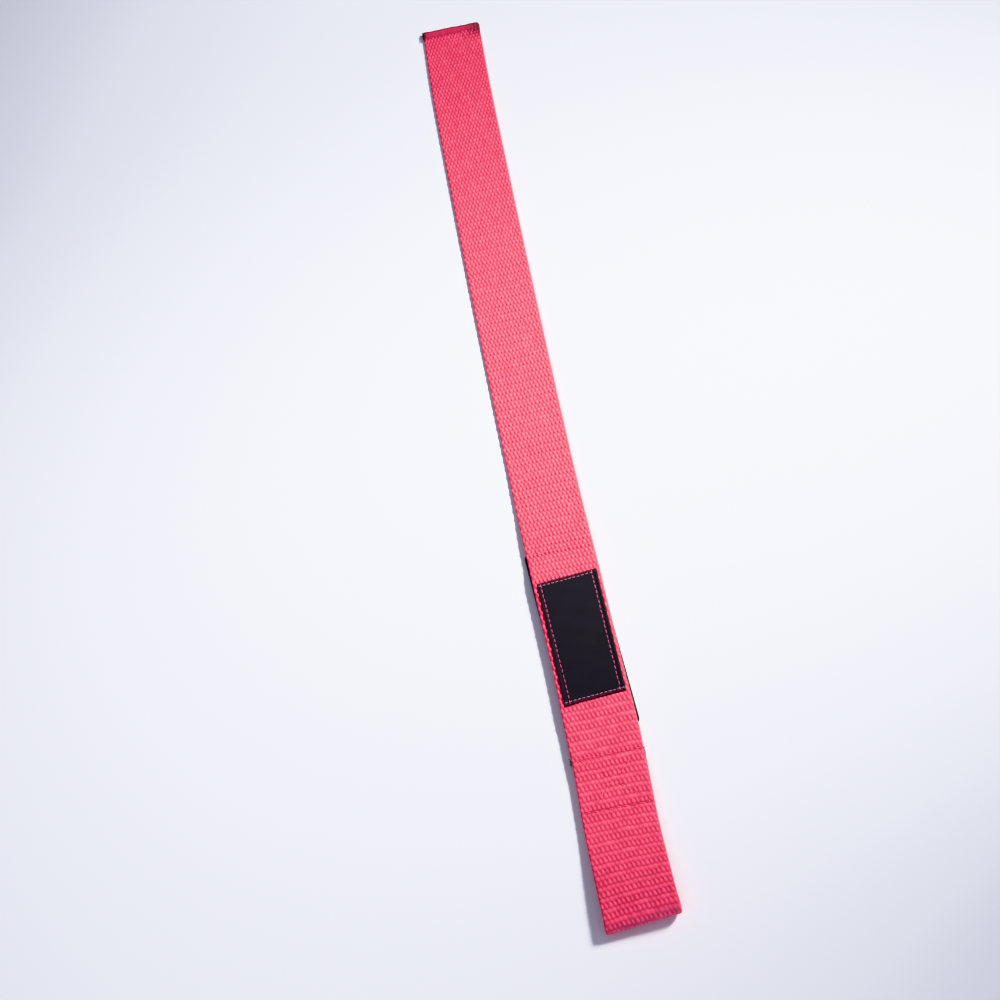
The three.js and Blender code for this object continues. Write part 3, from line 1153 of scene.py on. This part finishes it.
def singed_fibre():
    """Yarn ends caught by the hot knife: dark brown, a little glassy where they melted."""
    colours = bpy.context.scene.strap_colours
    material, tree = new_material("Singed yarn ends")
    place = add_node(tree, "ShaderNodeTexCoord")
    # Patches of yarn about 1.4 mm wide that kept some of their dye
    patch = add_node(
        tree, "ShaderNodeTexNoise",
        {"Vector": (place, "Object"), "Scale": 0.7 / MM, "Detail": 2.0},
    )
    dyed = add_node(tree, "ShaderNodeMath", {0: (patch, "Fac"), 1: 0.3}, operation="MULTIPLY")
    colour = add_node(
        tree, "ShaderNodeMix",
        {0: (dyed, 0), 6: opaque(colours.singed), 7: opaque(colours.overlock)}, data_type="RGBA",
    )
    shader = add_node(
        tree, "ShaderNodeBsdfPrincipled", {"Base Color": (colour, 2), "Roughness": 0.5},
    )
    add_node(tree, "ShaderNodeOutputMaterial", {"Surface": (shader, "BSDF")})
    return material


def studio_floor():
    """Matt white board, faintly blue."""
    colours = bpy.context.scene.strap_colours
    material, tree = new_material("Matt white board")
    shader = add_node(
        tree, "ShaderNodeBsdfPrincipled",
        {"Base Color": opaque(colours.floor), "Roughness": 0.75, "Specular IOR Level": 0.2},
    )
    add_node(tree, "ShaderNodeOutputMaterial", {"Surface": (shader, "BSDF")})
    return material


def webbing_grid(pitch):
    """Runs of every section, as many to each row of the weave, where among them the lengths
    begin and end, and the row pitch that fits the band."""
    count = round((BAND_END - BAND_START) / pitch)
    runs = np.linspace(BAND_START, BAND_END, count * ROW_SAMPLES + 1)
    joins = [round((at - BAND_START) / (BAND_END - BAND_START) * count - 0.5) for at in JOINS]
    at = [0] + [round((join + 0.5) * ROW_SAMPLES) for join in joins] + [len(runs) - 1]
    return runs, at, (BAND_END - BAND_START) / count


def singed_tail(run, across):
    """Where the hot knife caught the tip of the tail: both corners, further down the right."""
    burnt = 0
    for at, width, strength, tip, fade in SINGED_CORNERS:
        near = np.exp(-((across - at) / width) ** 2)
        burnt = burnt + strength * near * np.clip(tip - run / fade, 0, 1)
    return np.clip(burnt, 0, 1)


def woven_surface(run, outline, pitch, sizes):
    """Points of a woven length, and the values that its material reads. The section is
    carried along the run, and the weave's domes rise from it on both faces. They are lower
    on the selvedges and round the fold, where the yarns spread, and each row of stitches
    draws the upper face down."""
    across, angle, columns = (part[None] for part in outline)
    shift = np.interp(run, *ROW_SHIFTS.T) + row_tilt(run, across)
    rows = (run - shift - BAND_START) / pitch
    *lies, share_deep = (np.interp(run, FLOATS[:, 0], column) for column in FLOATS.T[1:])
    upper, shade_up = weave(columns, rows, 0, lies, sizes)
    under, shade_down = weave(columns, rows, 1, lies, sizes)
    share = (1 + np.sin(angle)) / 2
    domes = mix(under, upper, share)
    edge = np.cos(angle) ** 2
    bend = ease((run - FOLD_START) / FOLD_EASE + 1) * ease((FOLD_END - run) / FOLD_EASE + 1)
    front = ease((run - FOLD_START) / FRONT_EASE)
    depth = share_deep * sizes.relief / MM * (1 - EDGE_LOWER * edge)
    depth = depth * (1 - (BEND_LOWER + FRONT_LOWER * front) * bend)
    dip = sum(line_dip(run, across, line, SEAM_WIDTH, deep) for line, deep in SEAM_DIPS)
    half = mix(THICKNESS, CUT_THICKNESS, squeeze(run)) / 2
    relief = (domes - 1) * depth * half / (THICKNESS / 2) + EDGE_SWELL * edge - dip * share
    side = across / WIDTH + np.cos(angle) * (half + relief) / WIDTH
    rise = np.sin(angle) * (half + relief)
    points = middle(run, side) + outward(run, side) * rise[..., None]
    patches = spots(columns, rows, TAIL_SPOTS)
    singed = singed_tail(run, across) * mix(*SPOT_SHARES, patches) * mix(*DOME_SHARES, domes)
    return points, {
        # Painted shade: the gaps' darker colour, deeper along the stitch grooves and weaker on the
        # fold's shaded front, which paints it lighter
        "weave": mix(domes, 1, FRONT_FADES * front * bend) - 2 * dip * share,
        "shade": np.where(share > 0.5, shade_up, shade_down),
        "singed": np.clip(singed, 0, 1),
        # Painted light on the fold's front, which lies in shade
        "rubbed": front * bend * mix(*FOLD_LIGHT_SHARES, domes),
    }


class STRAP_OT_webbing(bpy.types.Operator):
    """Weave the band in four lengths that meet at rows of stitches"""

    bl_idname = "strap.webbing"
    bl_label = "Webbing"

    def execute(self, context):
        """Each length is a closed loft through its sections. Its map runs round the section
        and along the band, in mm."""
        sizes = context.scene.strap_weave
        material = cotton_webbing()
        outline = section(sizes.ends)
        across = outline[0]
        girth = np.cumsum(np.hypot(np.diff(across, prepend=across[0]), TURN_STEP))
        runs, at, pitch = webbing_grid(sizes.row_pitch / MM)
        for name, first, last in zip(WOVEN_LENGTHS, at[:-1], at[1:]):
            run = runs[first:last + 1, None]
            points, values = woven_surface(run, outline, pitch, sizes)
            vertices, quads, fans = capped_loft(points)
            uv = np.stack(np.broadcast_arrays(girth[None], run), -1).reshape(-1, 2)
            sharp = np.zeros(len(vertices), bool)
            sharp[:len(across)] = sharp[-2 - len(across):-2] = True
            values = {key: np.append(value, END_VALUES) for key, value in values.items()}
            piece = add_mesh(
                name, vertices, quads, fans, material, values,
                uv=np.vstack((uv, uv[:2])), sharp=sharp,
            )
            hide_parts("webbing")
        return {"FINISHED"}


class STRAP_OT_wrist_pad(bpy.types.Operator):
    """Shape the neoprene pad under the wrist"""

    bl_idname = "strap.wrist_pad"
    bl_label = "Wrist pad"

    def execute(self, context):
        """Slab with round edges and corners: both faces pull in along an ellipse near the
        border. The underside puffs a little, and rows of stitches draw it in."""
        places = np.linspace(PAD_START, PAD_END, PAD_GRID[0])[:, None]
        inset = np.minimum(places - PAD_START, PAD_END - places)
        corner = PAD_CORNER - np.minimum(inset, PAD_CORNER)
        narrow = PAD_CORNER - np.sqrt(np.maximum(PAD_CORNER ** 2 - corner ** 2, 0))
        share = np.sin(np.linspace(-0.5, 0.5, PAD_GRID[1]) * np.pi)[None]
        across = share * (PAD_WIDTH / 2 - narrow)
        border = np.minimum(PAD_WIDTH / 2 - narrow - np.abs(across), inset)
        fall = 1 - np.clip(border / PAD_ROUND, 0, 1)
        thick = mix(PAD_EDGE, 1, np.sqrt(np.clip(1 - fall ** 2, 0, 1)))
        x = pad_middle(places) + across
        y = places - STRAP_LENGTH / 2 + SHIFT_Y + 0 * across
        run, aside = STRAP_LENGTH - places, x - wander(places) - SHIFT_X
        label_rows = sum(line_dip(run, aside, row, *LABEL_DIP) for row in rows_under_label())
        seam = np.maximum(line_dip(run, aside, PAD_SEAM, *PAD_DIP), label_rows)
        puff = waves(PAD_PUFF, places, across) * ease(border / PUFF_FADE)
        half = (bearing(places) - PAD_GAP) / 2
        top = half + (half - PAD_TOP_GAP) * thick
        bottom = half - half * thick + seam + np.maximum(puff, 0)
        vertices, quads = slab(np.stack((x, y, top), -1), np.stack((x, y, bottom), -1))
        piece = add_mesh("wrist_pad_foam", vertices, quads, None, knit_neoprene())
        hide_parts("wrist_pad")
        return {"FINISHED"}


def label_relief(across, place):
    """Height of the label's face over the webbing: a folded hem round the border, a groove
    under the stitches and a slight crown in the middle."""
    side = LABEL_WIDTH / 2 - np.abs(across)
    end = np.minimum(place - LABEL_START, LABEL_START + LABEL_LENGTH - place)
    border = np.minimum(side, end)
    hem = HEM_RISE * (1 - ease((border - HEM_REACH) / HEM_FADE))
    groove = GROOVE_DEPTH * np.exp(-(((border - GROOVE_INSET) / GROOVE_WIDTH) ** 2))
    crown = CROWN_RISE * ease(border / CROWN_REACH)
    ripple = waves(LABEL_RIPPLE, place, across) * ease(border / RIPPLE_FADE)
    fall = 1 - np.clip(border / LABEL_ROUND, 0, 1)
    edge = np.sqrt(np.clip(1 - fall ** 2, 0, 1))
    return (LABEL_HEIGHT + hem - groove + crown + ripple) * mix(LABEL_EDGE, 1, edge)


def rows_under_label():
    """The label's rows of stitches where they come out under the pad, as run and across."""
    return [
        [
            (STRAP_LENGTH - place - LABEL_SLANT * across / LABEL_WIDTH, across + LABEL_OFFSET)
            for across, place in row
        ]
        for row in SIDE_STITCHES + END_STITCHES
    ]


def hem_yarn(across, place):
    """How much of the hem's red yarn shows: in patches at the ends, and faintly at the sides."""
    end = np.minimum(place - LABEL_START, LABEL_START + LABEL_LENGTH - place)
    side = LABEL_WIDTH / 2 - np.abs(across)
    patches = HEM_YARN_MEAN + waves(HEM_PATCHES, across, place)
    at_ends = HEM_YARN_ENDS * (1 - ease((end - HEM_YARN_REACH) / HEM_YARN_FADE)) * patches
    at_sides = HEM_YARN_SIDES * (1 - ease(side / HEM_YARN_NARROW))
    return np.maximum(at_ends, at_sides).ravel()


class STRAP_OT_label(bpy.types.Operator):
    """Lay the woven label on the webbing"""

    bl_idname = "strap.label"
    bl_label = "Label"

    def execute(self, context):
        """Thin closed slab that follows the webbing, with its hem and grooves in relief. Its
        sides are rough by a random step for each row, which fades quickly inwards."""
        rows, columns = LABEL_GRID
        places = np.linspace(LABEL_START, LABEL_START + LABEL_LENGTH, rows)[:, None]
        across = np.linspace(-0.5, 0.5, columns)[None] * LABEL_WIDTH
        random = np.random.default_rng(LABEL_SEED)
        rough = random.normal(scale=LABEL_ROUGH, size=(2, rows, 1)).sum(0)
        ragged = across + rough * np.abs(across / (LABEL_WIDTH / 2)) ** ROUGH_FALL
        level = places + 0 * across
        upper = label_point(ragged, level, label_relief(across, places))
        lower = label_point(ragged, level, -LABEL_SUNK + 0 * level)
        vertices, quads = slab(upper, lower)
        uv = np.stack(np.broadcast_arrays(across, places), -1).reshape(-1, 2)
        hem = hem_yarn(across, places)
        piece = add_mesh(
            "label_patch", vertices, quads, None, woven_label(),
            {"hem": np.append(hem, hem)}, uv=np.vstack((uv, uv)),
        )
        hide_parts("label")
        return {"FINISHED"}


def binding_profile():
    """Closed outline of the thread round a cut end, as length, height and way out: along the
    bottom, round the nose, back along the top, and inside again."""
    nose = BINDING_HEIGHT / 2
    flat = np.linspace(-BINDING_DEPTH, -nose, BINDING_SAMPLES)
    turn = np.linspace(-np.pi / 2, np.pi / 2, NOSE_SAMPLES)[1:-1]
    inner = BINDING_WALL + WALL_MARGIN
    open_end = -BINDING_DEPTH - OPEN_OVERHANG
    length = np.concatenate((flat, -nose + nose * np.cos(turn), flat[::-1]))
    height = np.concatenate((0 * flat, nose + nose * np.sin(turn), 0 * flat + BINDING_HEIGHT))
    out_length = np.concatenate((0 * flat, np.cos(turn), 0 * flat))
    out_height = np.concatenate((0 * flat - 1, np.sin(turn), 0 * flat + 1))
    inside = np.array((
        (open_end, BINDING_HEIGHT - inner),
        (-nose, BINDING_HEIGHT - inner),
        (-inner, nose),
        (-nose, inner),
        (open_end, inner),
    ))
    length, height = np.append(length, inside[:, 0]), np.append(height, inside[:, 1])
    quiet = np.zeros(len(inside))
    return length, height, np.append(out_length, quiet), np.append(out_height, quiet)


def singed_binding(across, length, arc):
    """Where the hot knife darkened the thread: a wide blot at the right corner, a small mark
    behind the rim at the left, and spots along the rim."""
    patches = spots(across, arc, RIM_SPOTS)
    right = np.exp(-((across - BLOT_PLACE) / BLOT_WIDTH) ** 2) * mix(*BLOT_SHARES, patches)
    left = np.exp(-((across + MARK_PLACE) / MARK_WIDTH) ** 2)
    left = left * ease((-length - MARK_START) / MARK_FADE)
    left = left * ease((length + MARK_END) / MARK_FADE)
    rim = ease((length + RIM_REACH) / RIM_FADE) * mix(*RIM_SHARES, patches)
    return np.clip(right + MARK_STRENGTH * left + rim, 0, 1)


def bound_end(place, drift, width, seed, lean, pitch):
    """Points of a bound end, and the values that its material reads: the profile of the
    binding carried across the strap. Each thread is a round ridge of its own height, and
    ends at its own length in the weave."""
    length, height, out_length, out_height = binding_profile()
    nose = BINDING_HEIGHT / 2
    count = round(width / pitch)
    table = np.random.default_rng(seed).normal(size=(2, count + SPARE_THREADS))
    across = np.linspace(-0.5, 0.5, count * THREAD_SAMPLES + 1)[:, None] * width
    arc = np.cumsum(np.hypot(np.diff(length, prepend=length[0]), np.diff(height, prepend=0)))
    thread = across / pitch + FIRST_THREAD + THREAD_SLANT * arc + waves(THREAD_DRIFT, across, 0)
    index = np.floor(thread).astype(int) % (count + SPARE_THREADS)
    share = 2 * (thread - np.floor(thread)) - 1
    ridge = np.sqrt(np.clip(1 - share ** 2, 0, 1))
    swell = table[0][index]
    relief = -RIDGE_DEPTH * (1 - ridge) - RIDGE_UNEVEN * np.abs(swell)
    longer = END_UNEVEN * table[1][index] - END_INSET
    behind = np.clip((-nose - length) / (BINDING_DEPTH - nose), 0, 1)
    wave = waves(RIM_WAVES, across, seed) + lean * (RIM_FORWARD - RIM_SLANT * across)
    corner = np.clip((np.abs(across) - width / 2 + WORN_CORNER) / WORN_CORNER, 0, 1)
    trim = WORN_TRIM * (1 - np.sqrt(np.clip(1 - corner ** 2, 0, 1))) * (across > 0)
    along = length + relief * out_length - behind * longer + (wave - trim) * (1 - behind)
    up = (height + relief * out_height - nose) * mix(1, WORN_FLAT, corner ** 2)
    up = nose + up - OPEN_LOWER * behind ** 2 * (height > nose)
    points = np.stack((
        across * (1 - OPEN_NARROWER * behind) + wander(place) + drift + SHIFT_X,
        along + place - STRAP_LENGTH / 2 + SHIFT_Y,
        up,
    ), -1)
    return points, {
        "strand": swell,
        # Painted shade between the threads and towards the open side
        "ridge": ridge * (1 - BACK_SHADE_SHARE * ease((behind - BACK_SHADE_START) / BACK_SHADE_FADE)),
        "singed": singed_binding(across, length, arc),
    }


class STRAP_OT_bindings(bpy.types.Operator):
    """Wind overlock thread round the two cut ends"""

    bl_idname = "strap.bindings"
    bl_label = "Bound ends"

    def execute(self, context):
        """Each bound end is a closed loft across the strap, its profile taken backwards so
        that the faces point outwards."""
        pitch = context.scene.strap_thread.whip_pitch / MM
        material = overlock_thread()
        for name, node, *lies in BOUND_ENDS:
            points, values = bound_end(*lies, pitch)
            vertices, quads, fans = capped_loft(points[:, ::-1])
            values = {
                key: np.append(value[:, ::-1], END_VALUES) for key, value in values.items()
            }
            piece = add_mesh(name, vertices, quads, fans, material, values)
            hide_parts(node)
        return {"FINISHED"}


def on_label(across, place, lift):
    """Point on the label's face, with the way out of it."""
    point = label_point(across, place, label_relief(across, place) + lift)
    return point, np.broadcast_to((0.0, 0.0, 1.0), point.shape)


def under_pad(run, across, lift):
    """Point on the underside of the pad, with the way out of it."""
    place = STRAP_LENGTH - run
    x = wander(place) + across + SHIFT_X
    point = np.stack((x, place - STRAP_LENGTH / 2 + SHIFT_Y, PAD_UNDERSIDE - lift), -1)
    return point, np.broadcast_to((0.0, 0.0, -1.0), point.shape)


def under_label(across, place, lift):
    """Point on the underside of the pad below a row of the label's stitches."""
    along = place + LABEL_SLANT * across / LABEL_WIDTH
    return under_pad(STRAP_LENGTH - along, across + LABEL_OFFSET, lift)


def under_box(run, across, lift):
    """Point on the underside of the folded end, below a row of the box's stitches."""
    return on_webbing(FOLD_END + STRAP_LENGTH - run - FOLD_RADIUS - THICKNESS / 2, across, lift)


class STRAP_OT_stitching(bpy.types.Operator):
    """Sew the box, the pad's seam and the label's border"""

    bl_idname = "strap.stitching"
    bl_label = "Stitching"

    def execute(self, context):
        """Each row of stitches on its own surface, on top and again underneath. The number in
        a row is how far its stitches stand out from that surface."""
        colours = context.scene.strap_colours
        thread = context.scene.strap_thread
        seam = sewing_thread("Bonded polyester seam thread", colours.seam)
        border = sewing_thread("Bonded polyester label thread", colours.stitching)
        pale = sewing_thread("Faded bonded polyester thread", colours.end_stitching)
        radius = thread.diameter / MM / 2
        long, short = thread.stitch_length / MM, thread.short_stitch / MM
        tight, loose = thread.short_gap / MM, thread.stitch_gap / MM
        pad, label = (PAD_SEAM,), SIDE_STITCHES + END_STITCHES
        box = (BOX_TOP, BOX_BOTTOM, BOX_CROSS_A, BOX_CROSS_B)
        rows = (
            ("pad_seam_stitches", pad, on_webbing, "webbing", -0.35, seam, long, loose),
            ("box_stitches", box, on_webbing, "webbing", -0.28, seam, long, loose),
            ("label_side_stitches", SIDE_STITCHES, on_label, "label", 0.02, border, long, tight),
            ("label_end_stitches", END_STITCHES, on_label, "label", 0.08, pale, short, tight),
            ("pad_seam_under_stitches", pad, under_pad, "pad", 0.1, seam, long, loose),
            ("label_under_stitches", label, under_label, "pad", 0.1, border, long, loose),
            ("box_under_stitches", box, under_box, "webbing", -0.18, seam, long, loose),
        )
        for name, lines, place_on, slot, stand, material, length, gap in rows:
            centres, normals = stitch_rows(lines, place_on, stand, length, gap)
            vertices, quads, fans = threads(centres, normals, radius)
            piece = add_mesh(name, vertices, quads, fans, material)
        return {"FINISHED"}


class STRAP_OT_loose_ends(bpy.types.Operator):
    """Add the singed tufts at the corners of the cut ends"""

    bl_idname = "strap.loose_ends"
    bl_label = "Loose ends"

    def execute(self, context):
        """Short fibres that leave each corner in a bent arc of their own: a root, a straight
        reach and a curl that grows with the square of the way along."""
        material = singed_fibre()
        share = np.linspace(0, 1, FIBRE_RINGS)[None, :, None]
        for name, place, across, height, count, seed, way, size in TUFTS:
            random = np.random.default_rng(seed)
            x, y = wander(place) + across + SHIFT_X, place - STRAP_LENGTH / 2 + SHIFT_Y
            roots = random.normal(scale=ROOT_SPREAD * (size, size, 1), size=(count, 3))
            reach = random.normal(scale=REACH_SPREAD * (1, size, 1), size=(count, 3))
            curl = random.normal(scale=CURL_SPREAD * (1, size, 1), size=(count, 3))
            roots, reach = roots + (x, y, height), reach + (way, 0, 0)
            centres = roots[:, None] + reach[:, None] * share + curl[:, None] * share ** 2
            centres[..., 2] = np.maximum(centres[..., 2], TUFT_LOWEST)
            normals = np.broadcast_to((0.1, 0.2, 1.0), centres.shape)
            vertices, quads, fans = threads(centres, normals, FIBRE_RADIUS, FIBRE_SIDES)
            piece = add_mesh(name, vertices, quads, fans, material)
        return {"FINISHED"}


# Camera, in millimetres and degrees: its place, how far it looks down, which way it
# faces and how far it is rolled
CAMERA_PLACE = (6.48, -478.6, 853.2)
CAMERA_DOWN = 63.15
CAMERA_FACING = 4.61
CAMERA_ROLL = 16.19

# The lamp's place in mm, and the two parts of its light: where each is aimed on the floor,
# whole angle of the cone and turn in degrees, and how many times as wide as it is high
LAMP_PLACE = (1248.0, 526.0, 1240.0)
POOL = ((140.0, 0.0, 0.0), 19.1, -39.0, 0.624)
WIDE = ((-175.0, -217.0, 0.0), 39.8, 56.0, 0.25)

# The floor in mm: half its width and its height, and its points to a side
FLOOR_HALF = 4000.0
FLOOR_HEIGHT = -0.05
FLOOR_POINTS = 9

# Width of the camera's sensor in mm, and the nearest that it sees in metres
SENSOR_WIDTH = 36.0
NEAREST = 0.01


def add_lamp(name, shape, power, radius):
    """Spot lamp with a soft oval pool. Its cone is stretched across the beam one way and
    squeezed the other, so that the power keeps its meaning."""
    aim, cone, turn, ratio = shape
    lamp = bpy.data.lights.new(name, "SPOT")
    lamp.energy = power
    lamp.shadow_soft_size = radius
    lamp.spot_size = math.radians(cone)
    lamp.spot_blend = 1.0
    way = Vector(LAMP_PLACE) - Vector(aim)
    level = Vector((0, 0, 1)).cross(way).normalized()
    beam = way.normalized()
    upright = beam.cross(level)
    c, s = math.cos(math.radians(turn)), math.sin(math.radians(turn))
    first, second = c * level + s * upright, c * upright - s * level
    stretch = math.sqrt(ratio)
    turned = Matrix((first * stretch, second / stretch, beam)).transposed().to_4x4()
    key = bpy.data.objects.new(name, lamp)
    key.matrix_world = Matrix.Translation(Vector(LAMP_PLACE) * MM) @ turned
    bpy.context.scene.collection.objects.link(key)


def camera_matrix():
    """Camera to frame: looks down and faces as given, then rolls about its line of sight."""
    down, facing, roll = map(math.radians, (CAMERA_DOWN, CAMERA_FACING, CAMERA_ROLL))
    level = Vector((math.cos(facing), math.sin(facing), 0))
    ahead = Vector((
        -math.cos(down) * math.sin(facing), math.cos(down) * math.cos(facing), -math.sin(down),
    ))
    drop = ahead.cross(level)
    right = math.cos(roll) * level + math.sin(roll) * drop
    below = math.cos(roll) * drop - math.sin(roll) * level
    turn = Matrix((right, -below, -ahead)).transposed().to_4x4()
    return Matrix.Translation(Vector(CAMERA_PLACE) * MM) @ turn


class STRAP_OT_stage(bpy.types.Operator):
    """Set the floor, the lights and the camera"""

    bl_idname = "strap.stage"
    bl_label = "Stage"

    def execute(self, context):
        """Pale floor, one soft lamp from the upper right with a pool of light, and even fill."""
        scene, stage = context.scene, context.scene.strap_stage
        corner = np.linspace(-FLOOR_HALF, FLOOR_HALF, FLOOR_POINTS)
        grid = np.stack(np.broadcast_arrays(corner[None], corner[:, None], FLOOR_HEIGHT), -1)
        quads = grid_faces(FLOOR_POINTS, FLOOR_POINTS)
        mesh = bpy.data.meshes.new("floor")
        mesh.from_pydata((grid.reshape(-1, 3) * MM).tolist(), [], quads.tolist())
        mesh.materials.append(studio_floor())
        floor = bpy.data.objects.new("floor", mesh)
        scene.collection.objects.link(floor)

        add_lamp("lamp_pool", POOL, stage.pool_power, stage.pool_radius)
        add_lamp("lamp_wide", WIDE, stage.wide_power, stage.wide_radius)

        world = bpy.data.worlds.new("Even fill")
        world.use_nodes = True
        world.node_tree.nodes.clear()
        fill = add_node(
            world.node_tree, "ShaderNodeBackground",
            {"Color": opaque(scene.strap_colours.fill), "Strength": stage.fill},
        )
        add_node(world.node_tree, "ShaderNodeOutputWorld", {"Surface": (fill, "Background")})
        scene.world = world

        lens = bpy.data.cameras.new("camera")
        lens.sensor_width = SENSOR_WIDTH
        lens.lens = stage.lens
        lens.clip_start = NEAREST
        lens.dof.use_dof = False
        camera = bpy.data.objects.new("camera", lens)
        camera.matrix_world = camera_matrix()
        scene.collection.objects.link(camera)
        scene.camera = camera
        scene.view_settings.view_transform = "Khronos PBR Neutral"
        scene.view_settings.look = "None"
        return {"FINISHED"}


class STRAP_PT_panel(bpy.types.Panel):
    """Sizes, colours and steps of the strap"""

    bl_idname = "STRAP_PT_panel"
    bl_label = "Weightlifting strap"
    bl_space_type = "VIEW_3D"
    bl_region_type = "UI"
    bl_category = "Strap"

    def draw(self, context):
        """Each group of properties, then a button for each step."""
        for name, group in GROUPS:
            box = self.layout.box()
            settings = getattr(context.scene, name)
            for key in group.__annotations__:
                box.prop(settings, key)
        for step in OPERATORS:
            self.layout.operator(step.bl_idname)


GROUPS = (
    ("strap_weave", StrapWeave),
    ("strap_thread", StrapThread),
    ("strap_colours", StrapColours),
    ("strap_stage", StrapStage),
)
OPERATORS = (
    STRAP_OT_webbing,
    STRAP_OT_wrist_pad,
    STRAP_OT_label,
    STRAP_OT_bindings,
    STRAP_OT_stitching,
    STRAP_OT_loose_ends,
    STRAP_OT_stage,
)


def register():
    """Registers the classes and hangs each group of properties on the scene."""
    for name, group in GROUPS:
        bpy.utils.register_class(group)
        setattr(bpy.types.Scene, name, PointerProperty(type=group))
    for step in (*OPERATORS, STRAP_PT_panel):
        bpy.utils.register_class(step)


def unregister():
    """Takes back what register did."""
    for step in reversed((*OPERATORS, STRAP_PT_panel)):
        bpy.utils.unregister_class(step)
    for name, group in reversed(GROUPS):
        delattr(bpy.types.Scene, name)
        bpy.utils.unregister_class(group)


def main():
    """Builds every piece and the stage."""
    register()
    for step in OPERATORS:
        group, name = step.bl_idname.split(".")
        getattr(getattr(bpy.ops, group), name)()


if __name__ == "__main__":
    main()
